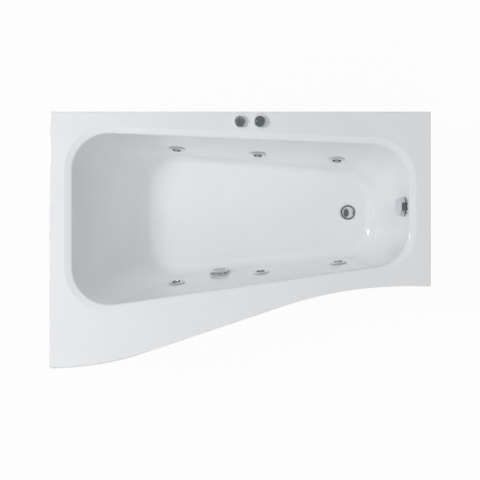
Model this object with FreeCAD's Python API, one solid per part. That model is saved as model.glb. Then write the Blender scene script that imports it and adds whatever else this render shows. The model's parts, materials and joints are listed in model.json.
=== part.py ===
import FreeCAD, Part
import math
import os

from FreeCAD import Placement, Rotation, Vector

# Asymmetric hydromassage bath. X runs from the head end to the foot end, +Y is the wall side, Z is up.
# The origin is on the floor, under the middle of the bath. Lengths in millimetres, angles in degrees.

# Clearances
seat_gap = 0.3
run_gap = 0.3
fit_gap = 0.05
overrun = 5.0

# Bath outline and deck
bath_length = 1500.0
head_width = 1010.0
foot_width = 687.0
deck_height = 580.0
wall = 6.0
lip_depth = 45.0
deck_edge_round = 4.0
head_sweep_run = 379.6
foot_sweep_run = 489.6
foot_flat = 94.0
sweep_steps = 60

# Basin: deck strips round the opening, its bevelled rim, its walls and its floor,
# each placed from the bath's own edges
head_deck = 60.0
foot_deck = 56.0
back_deck_head = 50.0
back_deck_foot = 108.0
front_deck_head = 196.0
front_deck_arc = 51.0
opening_corner_radius = 175.0
bevel_width = 26.0
bevel_drop = 9.0
rim_round = 7.0
floor_height = 170.0
floor_fall = 8.0
floor_head_gap = 343.0
floor_foot_gap = 172.0
floor_back_gap_head = 128.0
floor_back_gap_foot = 221.0
floor_front_gap_head = 347.0
floor_front_step = 51.0
floor_corner_head = 150.0
floor_corner_foot = 125.0
corner_limit_share = 0.37
blend_height = 42.0
rim_sections = 5
blend_sections = 7

# Base board and its packers
board_thickness = 12.0
board_margin = 12.0
board_hole_gap = 5.0
packer_width = 60.0
packer_height = 12.0

# Steel frame of square tube
tube_size = 25.0
tube_wall = 2.0
frame_end_inset = 60.0
frame_back_inset = 30.0
frame_front_inset = 38.0
pump_corner_inset = 60.0
pump_rail_gap = 12.0
cross_head_gap = 500.0
cross_foot_gap = 400.0

# Levelling feet
foot_pad_radius = 24.0
foot_pad_height = 12.0
foot_hub_radius = 11.0
foot_hub_height = 10.0
stud_radius = 6.0
stud_reach = 6.0
leg_nut_radius = 11.0
leg_nut_height = 14.0

# Front panel
panel_thickness = 4.0
panel_gap = 0.6
panel_end_gap = 8.0
panel_floor_gap = 12.0
panel_top_gap = 4.0
bracket_width = 32.0
bracket_height = 18.0
screw_radius = 2.5
screw_head_radius = 7.0
screw_head_height = 3.0
screw_length = 16.0
pump_bracket_shares = (0.25, 0.75)
front_bracket_shares = (0.12, 0.62, 0.93)

# Jets, each built on its wall with Z into the basin and Y up the wall
jet_suction_rise = 82.0
back_jet_shares = (0.323, 0.550, 0.771)
front_jet_shares = (0.323, 0.558, 0.775)
jet_face_radius = 34.0
jet_face_edge = 2.0
jet_face_height = 5.5
jet_crest_radius = 27.0
jet_crest_width = 2.5
jet_dish_radius = 18.0
jet_dish_depth = 3.5
jet_hole_radius = 25.0
jet_flange_radius = 30.0
jet_flange_thickness = 2.0
jet_sleeve_radius = 19.0
jet_sleeve_length = 16.0
jet_body_length = 36.0
jet_body_wall = 3.0
ball_radius = 15.0
ball_proud = 3.0
ball_bore_radius = 5.0
ball_mouth_radius = 7.5
ball_mouth_depth = 5.0
water_spigot_radius = 11.0
water_spigot_bore = 8.5
water_spigot_length = 9.0
air_spigot_radius = 5.0
air_spigot_bore = 3.0
air_port_depth = 26.0
nut_height = 8.0
nut_rim = 7.0
gasket_thickness = 2.0

# Water and air lines behind the walls
water_pipe_radius = 14.0
water_line_reach = 56.0
water_line_end = 30.0
air_pipe_radius = 8.0
air_line_rise = 44.0
air_line_end = 20.0
feed_start = 60.0
water_feed_gap = 128.0
water_bend_radius = 55.0
air_feed_gap = 46.7
air_bend_radius = 40.0
air_drop_shift = 70.0
air_drop_run = 50.0
air_drop_bend = 28.0
tee_gap = 12.0
tee_reach = 40.0
tee_wall = 3.5
tee_socket_depth = 46.0
tee_socket_land = 22.0

# Suction fitting and pipe
suction_pump_gap = 284.0
suction_rise = 98.0
suction_face_radius = 42.0
suction_face_height = 15.0
suction_face_chamfer = 3.5
suction_hole_radius = 31.0
suction_flange_radius = 37.0
suction_port_gap = 3.0
suction_spigot_radius = 22.0
suction_spigot_bore = 19.0
suction_spigot_reach = 58.0
suction_pipe_radius = 25.0
suction_pipe_start = 38.0
suction_run = 45.0
suction_bend_radius = 60.0
grille_hole_radius = 3.2
grille_ring_shares = (0.42, 0.70)
grille_ring_counts = (8, 14)
grille_wall = 2.5
side_slot_count = 24
side_slot_width = 4.5
side_slot_rise = 3.0
side_slot_height = 7.5

# Pump
shelf_thickness = 12.0
shelf_half_width = 85.0
pump_head_gap = 380.0
pump_rise = 78.0
volute_radius = 66.0
volute_half = 28.0
volute_wall = 5.0
outlet_radius = 16.0
outlet_bore = 13.0
outlet_offset = 45.0
inlet_reach = 34.0
impeller_radius = 52.0
impeller_disc = 5.0
impeller_gap = 4.0
blade_count = 6
blade_width = 4.0
motor_radius = 60.0
motor_length = 190.0
motor_wall = 5.0
motor_end_wall = 12.0
motor_fin_count = 24
motor_fin_height = 5.0
motor_fin_width = 3.0
motor_foot_length = 110.0
motor_foot_width = 100.0
bearing_radius = 15.0
shaft_radius = 7.0
rotor_radius = 36.0
rotor_length = 95.0
box_length = 90.0
box_width = 70.0
box_height = 34.0
box_wall = 3.0
gland_radius = 10.0
gland_bore = 5.0
gland_length = 18.0

# Air button and air regulator on the deck
control_back_gap = 40.0
button_head_gap = 750.0
control_spacing = 78.0
control_radius = 22.5
control_sleeve_radius = 19.0
control_sleeve_length = 42.0
control_base = 4.0
button_bezel_height = 16.5
button_cap_radius = 16.0
button_cap_low = 5.0
button_cap_proud = 3.0
button_floor = 3.0
button_spigot_radius = 3.0
button_spigot_bore = 1.5
button_spigot_length = 14.0
bellows_radius = 11.0
bellows_neck_radius = 8.0
bellows_wall = 1.5
bellows_ribs = 4
knob_height = 17.0
knob_chamfer = 2.0
knob_grip_count = 18
knob_grip_radius = 1.3
knob_mark_radius = 2.0
knob_mark_depth = 0.8
knob_stem_radius = 5.0
knob_stem_length = 26.0
air_outlet_length = 16.0
switch_tube_radius = 4.5
switch_tube_gap = 98.0
switch_tube_drop_share = 0.2431
switch_tube_bend = 25.0

# Drain
drain_foot_gap = 275.0
drain_width_share = 0.4740
drain_recess = 4.0
drain_recess_radius = 37.0
drain_hole_radius = 27.0
drain_flange_radius = 32.5
drain_flange_height = 3.5
drain_flange_chamfer = 1.0
drain_bore_radius = 21.0
drain_sleeve_wall = 4.5
drain_sleeve_length = 36.0
spider_width = 4.0
spider_height = 9.0
spider_hub_radius = 7.5
plug_radius = 25.0
plug_crown = 4.5
plug_dome_radius = 147.0
plug_stem_radius = 4.0
plug_stem_reach = 12.0
drain_body_radius = 32.0
drain_body_wall = 3.0
drain_body_depth = 66.0
drain_body_flange = 39.0
drain_body_flange_thickness = 4.0
waste_radius = 20.0
waste_bore = 17.5
waste_length = 16.0
trap_radius = 38.0
trap_height = 56.0
trap_wall = 3.0
trap_collar = 6.0
trap_outlet_length = 64.0
trap_socket_length = 14.0

# Overflow and lift cable
overflow_width_share = 0.5205
overflow_depth = 58.0
overflow_hole_radius = 24.0
rosette_radius = 41.0
rosette_height = 5.0
rosette_bore = 18.0
rosette_notch_count = 12
rosette_notch_width = 8.0
rosette_notch_depth = 4.0
overflow_slot = 4.0
knob_face_radius = 40.0
knob_face_height = 16.0
knob_face_crown = 3.0
knob_flat_count = 8
knob_flat_reach = 38.5
knob_flat_taper = 5.0
overflow_stem_radius = 6.0
overflow_housing_radius = 35.0
overflow_housing_depth = 42.0
overflow_housing_wall = 3.0
overflow_spigot_radius = 19.0
overflow_spigot_bore = 16.0
overflow_spigot_reach = 58.0
overflow_port_depth = 40.0
overflow_pipe_radius = 22.0
overflow_pipe_start = 40.0
overflow_pipe_rise = 100.0
overflow_pipe_run = 80.0
overflow_bend_radius = 55.0
cable_radius = 3.0
cable_offset = 31.0
cable_boss_radius = 5.5
cable_boss_reach = 40.0
cable_bend_radius = 75.0

# Places worked out from the driving dimensions
head_x = -bath_length / 2
foot_x = bath_length / 2
back_y = head_width / 2
front_head_y = -head_width / 2
front_foot_y = back_y - foot_width
panel_inset = wall + panel_gap
panel_inner_inset = panel_inset + panel_thickness
frame_clearance = floor_height - wall - board_thickness - floor_fall - packer_height - tube_size
frame_top = frame_clearance + tube_size
basin_depth = deck_height - floor_height
suction_depth = basin_depth - suction_rise
jet_depth = suction_depth - jet_suction_rise
opening_head_width = head_width - back_deck_head - front_deck_head
floor_head_width = head_width - floor_back_gap_head - floor_front_gap_head
outlet_x = head_x + pump_head_gap


def save(name, shape):
    shape.exportStep("parts/" + name + ".step")


def rod(radius, start, end):
    return Part.makeCylinder(radius, (end - start).Length, start, end - start)


def disc(radius, low, high):
    return rod(radius, Vector(0, 0, low), Vector(0, 0, high))


def ring(outer, inner, low, high):
    return disc(outer, low, high).cut(disc(inner, low - overrun, high + overrun))


def block(low, high):
    size = high - low
    return Part.makeBox(size.x, size.y, size.z, low)


def turned(points):
    profile = [Vector(radius, 0, height) for radius, height in points]
    face = Part.Face(Part.makePolygon(profile + profile[:1]))
    return face.revolve(Vector(0, 0, 0), Vector(0, 0, 1), 360)


def joined(pieces):
    return pieces[0].multiFuse(pieces[1:]).removeSplitter()


def placed(shape, frame):
    copy = shape.copy()
    copy.Placement = frame.multiply(copy.Placement)
    return copy


def spot(frame, x, y, z):
    return frame.multVec(Vector(x, y, z))


def line_at_x(start, end, x):
    return start + (end - start) * ((x - start.x) / (end.x - start.x))


def polar(count, index, start=0):
    return 2 * math.pi * index / count + start


def hex_nut(radius, bore, low, high):
    corners = []
    for index in range(6):
        turn = polar(6, index)
        corners.append(Vector(radius * math.cos(turn), radius * math.sin(turn), low))
    face = Part.Face(Part.makePolygon(corners + corners[:1]))
    return face.extrude(Vector(0, 0, high - low)).cut(disc(bore, low - overrun, high + overrun))


def route(points, bend):
    """A wire of straight runs joined by tangent arcs of one radius."""
    edges = []
    last = points[0]
    for before, corner, after in zip(points, points[1:], points[2:]):
        back = (before - corner).normalize()
        ahead = (after - corner).normalize()
        half_turn = (math.pi - back.getAngle(ahead)) / 2
        setback = bend * math.tan(half_turn)
        inward = (back + ahead).normalize()
        middle = corner + inward * (bend / math.cos(half_turn) - bend)
        arc = Part.Arc(corner + back * setback, middle, corner + ahead * setback)
        edges.append(Part.LineSegment(last, corner + back * setback).toShape())
        edges.append(arc.toShape())
        last = corner + ahead * setback
    edges.append(Part.LineSegment(last, points[-1]).toShape())
    return Part.Wire(edges)


def swept(points, bend, radius):
    circle = Part.makeCircle(radius, points[0], points[1] - points[0])
    return route(points, bend).makePipeShell([Part.Wire([circle])], True, False)


def hose(points, bend, outer, inner):
    return swept(points, bend, outer).cut(swept(points, bend, inner))


# Front edge: an arc from the head corner, a straight slope, a counter-arc and a flat to the foot corner.
arcs_run = head_sweep_run + foot_sweep_run
slope_run = bath_length - foot_flat - arcs_run


def find_slope():
    """The slope's angle, found by halving, at which the front edge drops from head to foot width."""
    low, high = 0, math.pi / 2
    for step in range(sweep_steps):
        middle = (low + high) / 2
        drop = arcs_run * math.tan(middle / 2) + slope_run * math.tan(middle)
        low, high = (middle, high) if drop < head_width - foot_width else (low, middle)
    return middle


sweep_slope = find_slope()
head_sweep_radius = head_sweep_run / math.sin(sweep_slope)
foot_sweep_radius = foot_sweep_run / math.sin(sweep_slope)
head_sweep_centre = Vector(head_x, front_head_y + head_sweep_radius, 0)
foot_sweep_centre = Vector(foot_x - foot_flat, front_foot_y - foot_sweep_radius, 0)


def sweep_ends(inset):
    side = Vector(math.sin(sweep_slope), -math.cos(sweep_slope), 0)
    first = head_sweep_centre + side * (head_sweep_radius - inset)
    second = foot_sweep_centre - side * (foot_sweep_radius + inset)
    return first, second


def front_y(x, inset):
    first, second = sweep_ends(inset)
    if x < first.x:
        radius = head_sweep_radius - inset
        return head_sweep_centre.y - math.sqrt(radius ** 2 - (x - head_sweep_centre.x) ** 2)
    if x < second.x:
        return first.y + (x - first.x) * math.tan(sweep_slope)
    if x < foot_sweep_centre.x:
        radius = foot_sweep_radius + inset
        return foot_sweep_centre.y + math.sqrt(radius ** 2 - (x - foot_sweep_centre.x) ** 2)
    return front_foot_y + inset


def front_point(x, inset):
    return Vector(x, front_y(x, inset), 0)


def front_edges(inset, start_x, end_x):
    first, second = sweep_ends(inset)
    start = front_point(start_x, inset)
    flat = front_point(foot_sweep_centre.x, inset)
    head_arc = Part.Arc(start, front_point((start_x + first.x) / 2, inset), first)
    foot_arc = Part.Arc(second, front_point((second.x + flat.x) / 2, inset), flat)
    slope = Part.LineSegment(first, second)
    end = Part.LineSegment(flat, front_point(end_x, inset))
    return [curve.toShape() for curve in (head_arc, slope, foot_arc, end)]


def deck_prism(inset, low, high):
    edges = front_edges(inset, head_x + inset, foot_x - inset)
    corners = [
        front_point(foot_x - inset, inset),
        Vector(foot_x - inset, back_y - inset, 0),
        Vector(head_x + inset, back_y - inset, 0),
        front_point(head_x + inset, inset),
    ]
    for start, end in zip(corners, corners[1:]):
        edges.append(Part.LineSegment(start, end).toShape())
    face = Part.Face(Part.Wire(edges))
    face.translate(Vector(0, 0, low))
    return face.extrude(Vector(0, 0, high - low))


# Basin walls run between the rim's inner line and the floor's sharp outline.
# Sides go round as front, foot, back, head, and corner i lies before side i.
FRONT, FOOT, BACK, HEAD = range(4)


def four_corners(head, foot, back_head, back_foot, width_head, width_foot):
    return [
        Vector(head, back_head - width_head, 0),
        Vector(foot, back_foot - width_foot, 0),
        Vector(foot, back_foot, 0),
        Vector(head, back_head, 0),
    ]


def inset_corners(corners, shifts):
    """Moves each side of a quadrilateral inwards by its own shift."""
    lines = []
    for side in range(4):
        start = corners[side]
        run = (corners[(side + 1) % 4] - start).normalize()
        inward = Vector(-run.y, run.x, 0)
        lines.append((start + inward * shifts[side], run))
    moved = []
    for side in range(4):
        start, run = lines[side - 1]
        other, other_run = lines[side]
        cross = run.x * other_run.y - run.y * other_run.x
        gap = other - start
        moved.append(start + run * ((gap.x * other_run.y - gap.y * other_run.x) / cross))
    return moved


# The rim's front line keeps its distance from the front edge at the middle of the counter-arc
rim_head_front = Vector(head_x + head_deck, front_head_y + front_deck_head, 0)
arc_middle_x = foot_sweep_centre.x - foot_sweep_run / 2
rim_arc_front = front_point(arc_middle_x, 0) + Vector(0, front_deck_arc, 0)
rim_foot_front = line_at_x(rim_head_front, rim_arc_front, foot_x - foot_deck)
opening_foot_width = back_y - back_deck_foot - rim_foot_front.y
floor_foot_width = back_y - floor_back_gap_foot - rim_foot_front.y - floor_front_step
rim_outer = four_corners(
    head_x + head_deck, foot_x - foot_deck, back_y - back_deck_head, back_y - back_deck_foot,
    opening_head_width, opening_foot_width)
rim_inner = inset_corners(rim_outer, [bevel_width] * 4)
floor_sharp = four_corners(
    head_x + floor_head_gap, foot_x - floor_foot_gap, back_y - floor_back_gap_head,
    back_y - floor_back_gap_foot, floor_head_width, floor_foot_width)
opening_corner_limit = min(opening_head_width, opening_foot_width) * corner_limit_share
rim_radius = min(opening_corner_radius, opening_corner_limit) - bevel_width
head_corner_radius = min(floor_corner_head, floor_head_width * corner_limit_share)
foot_corner_radius = min(floor_corner_foot, floor_foot_width * corner_limit_share)
floor_head_x = head_x + floor_head_gap
floor_foot_x = foot_x - floor_foot_gap
fall_angle = math.atan2(floor_fall, floor_foot_x - floor_head_x)
bevel_angle = math.atan2(bevel_drop, bevel_width)
wall_drop = basin_depth - bevel_drop
wall_top = bevel_drop + rim_round
wall_low = basin_depth - blend_height


def wall_lean(side):
    """Angle of a wall from upright, at the middle of the side."""
    middle = (rim_inner[side] + rim_inner[(side + 1) % 4]) * 0.5
    start = floor_sharp[side]
    run = (floor_sharp[(side + 1) % 4] - start).normalize()
    gap = start - middle
    return math.atan2(abs(gap.x * run.y - gap.y * run.x), wall_drop)


leans = [wall_lean(side) for side in range(4)]


def rim_turn(lean):
    """Tangent length of the rounded edge between the bevel and a wall."""
    return rim_round * math.tan((math.pi / 2 - lean - bevel_angle) / 2)


def rim_shift(lean, depth):
    """Inward place of the bevel or of the rounded edge, measured from the wall's own line."""
    turn = rim_turn(lean)
    wall_place = (depth - bevel_drop) * math.tan(lean)
    if depth >= bevel_drop + turn * math.cos(lean):
        return 0
    if depth <= bevel_drop - turn * math.sin(bevel_angle):
        return (depth - bevel_drop) / math.tan(bevel_angle) - wall_place
    centre = -turn * math.cos(bevel_angle) - rim_round * math.sin(bevel_angle)
    centre_depth = bevel_drop - turn * math.sin(bevel_angle) + rim_round * math.cos(bevel_angle)
    return centre + math.sqrt(rim_round ** 2 - (depth - centre_depth) ** 2) - wall_place


def floor_shift(lean, height, grow):
    """Inward place of the blend from wall to floor, measured from the wall's own line."""
    radius = blend_height / (1 - math.sin(lean)) + grow
    if height >= radius * (1 - math.sin(lean)):
        return 0
    tangent = radius * (1 - math.sin(lean)) / math.cos(lean)
    return tangent - math.sqrt(radius ** 2 - (radius - height) ** 2) + height * math.tan(lean)


def side_shift(side, depth, grow):
    lean = leans[side]
    shift = floor_shift(lean, basin_depth + grow - depth, grow) - grow / math.cos(lean)
    if grow == 0:
        shift += rim_shift(lean, depth)
    return shift


def section_frame(depth):
    """Level at the rim, and tipped to the floor's fall from the foot of the walls down."""
    share = min(1, max(0, (depth - wall_top) / (wall_low - wall_top)))
    tip = Rotation(Vector(0, 1, 0), math.degrees(fall_angle * share))
    pivot = Vector(floor_head_x, 0, 0)
    return Placement(Vector(0, 0, deck_height - depth), tip, pivot)


def rounded(corners, radii, frame):
    """The four arcs of a rounded quadrilateral, each as start, middle and end."""
    arcs = []
    for index in range(4):
        corner = corners[index]
        back = (corners[index - 1] - corner).normalize()
        ahead = (corners[(index + 1) % 4] - corner).normalize()
        half = back.getAngle(ahead) / 2
        inward = (back + ahead).normalize()
        setback = radii[index] / math.tan(half)
        middle = corner + inward * (radii[index] / math.sin(half) - radii[index])
        points = (corner + back * setback, middle, corner + ahead * setback)
        arcs.append([frame.multVec(point) for point in points])
    return arcs


def arcs_wire(arcs):
    edges = []
    for index in range(4):
        start, middle, end = arcs[index]
        edges.append(Part.Arc(start, middle, end).toShape())
        edges.append(Part.LineSegment(end, arcs[(index + 1) % 4][0]).toShape())
    return Part.Wire(edges)


def basin_arcs(depth, grow, margin=0):
    share = (depth - bevel_drop) / wall_drop
    corners = [top + (low - top) * share for top, low in zip(rim_inner, floor_sharp)]
    shifts = [side_shift(side, depth, grow) + margin for side in range(4)]
    floor_radii = (head_corner_radius, foot_corner_radius, foot_corner_radius, head_corner_radius)
    radii = []
    for index in range(4):
        radius = rim_radius + (floor_radii[index] - rim_radius) * share
        radii.append(radius - (shifts[index - 1] + shifts[index]) / 2)
    return rounded(inset_corners(corners, shifts), radii, section_frame(depth))


def basin_loft(depths, grow, ruled):
    wires = [arcs_wire(basin_arcs(depth, grow)) for depth in depths]
    return Part.makeLoft(wires, True, ruled)


def blend_depths(grow):
    start = basin_depth - blend_height
    height = blend_height + grow
    turns = [math.pi / 2 * step / blend_sections for step in range(blend_sections + 1)]
    return [start + height * math.sin(turn) for turn in turns]


def basin_cavity():
    rim_start = bevel_drop - max(rim_turn(lean) for lean in leans) * math.sin(bevel_angle)
    step = (wall_top - rim_start) / rim_sections
    rim_depths = [rim_start + step * index for index in range(rim_sections + 1)]
    mouth = Part.Face(arcs_wire(basin_arcs(0, 0))).extrude(Vector(0, 0, overrun))
    bevel = basin_loft([0, rim_start], 0, True)
    edge = basin_loft(rim_depths, 0, False)
    walls = basin_loft([wall_top, wall_low], 0, True)
    blend = basin_loft(blend_depths(0), 0, False)
    return mouth.multiFuse([bevel, edge, walls, blend])


def basin_body():
    under_rim = bevel_drop + wall
    rim_wires = [arcs_wire(basin_arcs(0, 0)), arcs_wire(basin_arcs(under_rim, wall))]
    rim_wires[0].translate(Vector(0, 0, -wall))
    bevel = Part.makeLoft(rim_wires, True, True)
    walls = basin_loft([under_rim, wall_low], wall, True)
    blend = basin_loft(blend_depths(wall), wall, False)
    return [bevel, walls, blend]


def floor_z(x):
    return deck_height - basin_depth - (x - floor_head_x) * math.tan(fall_angle)


def board_under_z(x):
    return floor_z(x) - (wall + board_thickness) / math.cos(fall_angle)


def wall_frame(side, depth, x=None, y=None):
    """A frame on a wall at a depth and a place along it: Z into the basin, Y up the wall."""
    top = basin_arcs(wall_top, 0)
    low = basin_arcs(wall_low, 0)
    top_start, top_end = top[side][2], top[(side + 1) % 4][0]
    low_start, low_end = low[side][2], low[(side + 1) % 4][0]
    share = (depth - wall_top) / (wall_low - wall_top)
    start = top_start + (low_start - top_start) * share
    end = top_end + (low_end - top_end) * share
    if x is None:
        along = (y - start.y) / (end.y - start.y)
    else:
        along = (x - start.x) / (end.x - start.x)
    upper = top_start + (top_end - top_start) * along
    lower = low_start + (low_end - low_start) * along
    inward = (end - start).cross(lower - upper).normalize()
    across = Vector(0, 0, 1).cross(inward)
    turn = Rotation(across, inward.cross(across), inward, "ZXY")
    return Placement(start + (end - start) * along, turn)


jet_frames = [wall_frame(BACK, jet_depth, x=head_x + bath_length * share) for share in back_jet_shares]
jet_frames += [wall_frame(FRONT, jet_depth, x=head_x + bath_length * share) for share in front_jet_shares]
back_jets = jet_frames[:3]
front_jets = jet_frames[3:]
suction_frame = wall_frame(FRONT, suction_depth, x=outlet_x + suction_pump_gap)
overflow_back_gap = back_deck_foot + opening_foot_width * overflow_width_share
overflow_frame = wall_frame(FOOT, overflow_depth, y=back_y - overflow_back_gap)
drain_x = foot_x - drain_foot_gap
drain_y = back_y - floor_back_gap_foot - floor_foot_width * drain_width_share
drain_z = floor_z(drain_x) - drain_recess
drain_frame = Placement(Vector(drain_x, drain_y, drain_z), Rotation())
button_place = Vector(head_x + button_head_gap, back_y - control_back_gap, deck_height)
button_frame = Placement(button_place, Rotation())
knob_frame = Placement(button_place + Vector(control_spacing, 0, 0), Rotation())


def bath_shell():
    tray = deck_prism(0, deck_height - lip_depth, deck_height)
    top_edges = [edge for edge in tray.Edges if edge.BoundBox.ZMin > deck_height - wall / 2]
    tray = tray.makeFillet(deck_edge_round, top_edges)
    tray = tray.cut(deck_prism(wall, deck_height - lip_depth - overrun, deck_height - wall))
    boss = placed(disc(drain_recess_radius + wall, -wall, drain_recess), drain_frame)
    shell = tray.multiFuse(basin_body() + [boss])
    holes = [basin_cavity()]
    holes.append(placed(disc(drain_recess_radius, 0, 2 * drain_recess), drain_frame))
    holes.append(placed(disc(drain_hole_radius, -wall - overrun, overrun), drain_frame))
    for frame in jet_frames:
        holes.append(placed(disc(jet_hole_radius, -wall - overrun, overrun), frame))
    holes.append(placed(disc(suction_hole_radius, -wall - overrun, overrun), suction_frame))
    holes.append(placed(disc(overflow_hole_radius, -wall - overrun, overrun), overflow_frame))
    for frame in (button_frame, knob_frame):
        holes.append(placed(disc(control_sleeve_radius + run_gap, -wall - overrun, overrun), frame))
    return shell.cut(holes).removeSplitter()


def base_board():
    depth = basin_depth + wall
    outline = arcs_wire(basin_arcs(depth, wall, board_margin))
    down = section_frame(depth).Rotation.multVec(Vector(0, 0, -board_thickness))
    board = Part.Face(outline).extrude(down)
    clear = drain_body_flange + board_hole_gap
    return board.cut(placed(disc(clear, -wall - 2 * board_thickness, drain_recess), drain_frame))


# Frame: the head and foot tubes run across, the rails butt between them
frame_head_x = head_x + frame_end_inset
frame_foot_x = foot_x - frame_end_inset
frame_back_y = back_y - frame_back_inset
frame_front_y = front_foot_y + frame_front_inset
frame_corner_y = front_head_y + pump_corner_inset
cross_head_x = head_x + cross_head_gap
cross_foot_x = foot_x - cross_foot_gap
tube_half = tube_size / 2
pump_rail_y = front_y(cross_head_x + tube_half, panel_inner_inset) + pump_rail_gap + tube_half


def square_tube(low, high, run):
    """A square tube between two corners, open along one axis."""
    wall_step = Vector(tube_wall, tube_wall, tube_wall) - run * tube_wall
    reach = run * overrun
    return block(low, high).cut(block(low + wall_step - reach, high - wall_step + reach))


def tube_along_x(start_x, end_x, y):
    low = Vector(start_x, y - tube_half, frame_clearance)
    high = Vector(end_x, y + tube_half, frame_top)
    return square_tube(low, high, Vector(1, 0, 0))


def tube_along_y(start_y, end_y, x):
    low = Vector(x - tube_half, start_y, frame_clearance)
    high = Vector(x + tube_half, end_y, frame_top)
    return square_tube(low, high, Vector(0, 1, 0))


feet_places = [
    Vector(frame_head_x, frame_corner_y, 0),
    Vector(frame_head_x, frame_back_y, 0),
    Vector(frame_foot_x, frame_front_y, 0),
    Vector(frame_foot_x, frame_back_y, 0),
    Vector(cross_head_x, pump_rail_y, 0),
]


def stud_holes():
    low = Vector(0, 0, frame_clearance - overrun)
    high = Vector(0, 0, frame_clearance + tube_wall + overrun)
    return [rod(stud_radius + run_gap, place + low, place + high) for place in feet_places]


def build_frame():
    holes = stud_holes()
    head_tube = tube_along_y(frame_corner_y - tube_half, frame_back_y + tube_half, frame_head_x)
    foot_tube = tube_along_y(frame_front_y - tube_half, frame_back_y + tube_half, frame_foot_x)
    cross_head = tube_along_y(pump_rail_y - tube_half, frame_back_y - tube_half, cross_head_x)
    cross_foot = tube_along_y(frame_front_y + tube_half, frame_back_y - tube_half, cross_foot_x)
    save("frame_head_tube", head_tube.cut(holes))
    save("frame_foot_tube", foot_tube.cut(holes))
    save("frame_cross_head", cross_head.cut(holes))
    save("frame_cross_foot", cross_foot)
    start_x = frame_head_x + tube_half
    end_x = frame_foot_x - tube_half
    save("frame_back_rail", tube_along_x(start_x, end_x, frame_back_y))
    save("frame_front_rail", tube_along_x(cross_head_x + tube_half, end_x, frame_front_y))
    save("frame_pump_rail", tube_along_x(start_x, cross_head_x - tube_half, pump_rail_y))
    posts = []
    for place in feet_places[:4]:
        low = place + Vector(-tube_half, -tube_half, frame_top)
        high = place + Vector(tube_half, tube_half, deck_height - wall)
        posts.append(square_tube(low, high, Vector(0, 0, 1)))
    save("frame_posts", Part.makeCompound(posts))


def build_packers():
    packers = []
    for x in (cross_head_x, cross_foot_x):
        low, high = board_span(x)
        for y in (low + packer_width, high - packer_width):
            start = Vector(x - tube_half, y - packer_width / 2, 0)
            outline = [
                start + Vector(0, 0, frame_top),
                start + Vector(tube_size, 0, frame_top),
                start + Vector(tube_size, 0, board_under_z(x + tube_half)),
                start + Vector(0, 0, board_under_z(x - tube_half)),
            ]
            face = Part.Face(Part.makePolygon(outline + outline[:1]))
            packers.append(face.extrude(Vector(0, packer_width, 0)))
    save("base_packers", Part.makeCompound(packers))


def board_span(x):
    """Front and back of the base board at a place along the bath."""
    arcs = basin_arcs(basin_depth + wall, wall, board_margin)
    spans = []
    for side in (FRONT, BACK):
        start, end = arcs[side][2], arcs[(side + 1) % 4][0]
        spans.append(start.y + (end.y - start.y) * (x - start.x) / (end.x - start.x))
    return spans


def levelling_foot():
    shoulder = foot_pad_height + foot_hub_height
    return turned([
        (0, 0),
        (foot_pad_radius, 0),
        (foot_pad_radius, foot_pad_height / 2),
        (foot_hub_radius, foot_pad_height),
        (foot_hub_radius, shoulder),
        (stud_radius, shoulder),
        (stud_radius, frame_clearance + stud_reach),
        (0, frame_clearance + stud_reach),
    ])


def build_feet():
    nuts = []
    for number, place in enumerate(feet_places, 1):
        frame = Placement(place, Rotation())
        save("foot_%d" % number, placed(levelling_foot(), frame))
        low = frame_clearance - leg_nut_height
        nuts.append(placed(hex_nut(leg_nut_radius, stud_radius + fit_gap, low, frame_clearance), frame))
    save("leg_nuts", Part.makeCompound(nuts))


def panel_screw_places():
    """Each screw's frame on the panel's face, Z outwards, with the rail that its bracket reaches from."""
    rail_z = frame_clearance + tube_half
    pump_span = cross_head_x - frame_head_x
    front_span = frame_foot_x - cross_head_x
    stations = [(frame_head_x + pump_span * share, pump_rail_y) for share in pump_bracket_shares]
    stations += [(cross_head_x + front_span * share, frame_front_y) for share in front_bracket_shares]
    places = []
    for x, rail_y in stations:
        point = front_point(x, panel_inset - fit_gap)
        side = front_point(x + screw_length, panel_inset) - front_point(x - screw_length, panel_inset)
        outward = Vector(side.y, -side.x, 0).normalize()
        turn = Rotation(Vector(0, 0, 1).cross(outward), Vector(0, 0, 1), outward, "ZYX")
        places.append((Placement(point + Vector(0, 0, rail_z), turn), rail_y))
    return places


def build_panel():
    start_x = head_x + panel_end_gap + panel_inset
    end_x = foot_x - panel_end_gap - panel_inset
    outer = front_edges(panel_inset, start_x, end_x)
    inner = front_edges(panel_inner_inset, start_x, end_x)
    ends = []
    for x in (start_x, end_x):
        end = Part.LineSegment(front_point(x, panel_inset), front_point(x, panel_inner_inset))
        ends.append(end.toShape())
    face = Part.Face(Part.Wire(Part.__sortEdges__(outer + inner + ends)))
    face.translate(Vector(0, 0, panel_floor_gap))
    top = deck_height - wall - panel_top_gap
    panel = face.extrude(Vector(0, 0, top - panel_floor_gap))
    inside = deck_prism(panel_inner_inset, 0, deck_height)
    screw_hole = disc(screw_radius + run_gap, -screw_length - overrun, overrun)
    screw = turned([
        (0, -screw_length),
        (screw_radius, -screw_length),
        (screw_radius, 0),
        (screw_head_radius, 0),
        (screw_head_radius, screw_head_height / 3),
        (screw_head_radius / 2, screw_head_height),
        (0, screw_head_height),
    ])
    brackets = []
    screws = []
    for frame, rail_y in panel_screw_places():
        point = frame.Base
        low = Vector(point.x - bracket_width / 2, point.y - bracket_width, point.z - bracket_height / 2)
        high = Vector(point.x + bracket_width / 2, rail_y - tube_half, point.z + bracket_height / 2)
        hole = placed(screw_hole, frame)
        brackets.append(block(low, high).common(inside).cut(hole))
        panel = panel.cut(hole)
        screws.append(placed(screw, frame))
    save("front_panel", panel)
    save("panel_brackets", Part.makeCompound(brackets))
    save("panel_screws", Part.makeCompound(screws))


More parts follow.
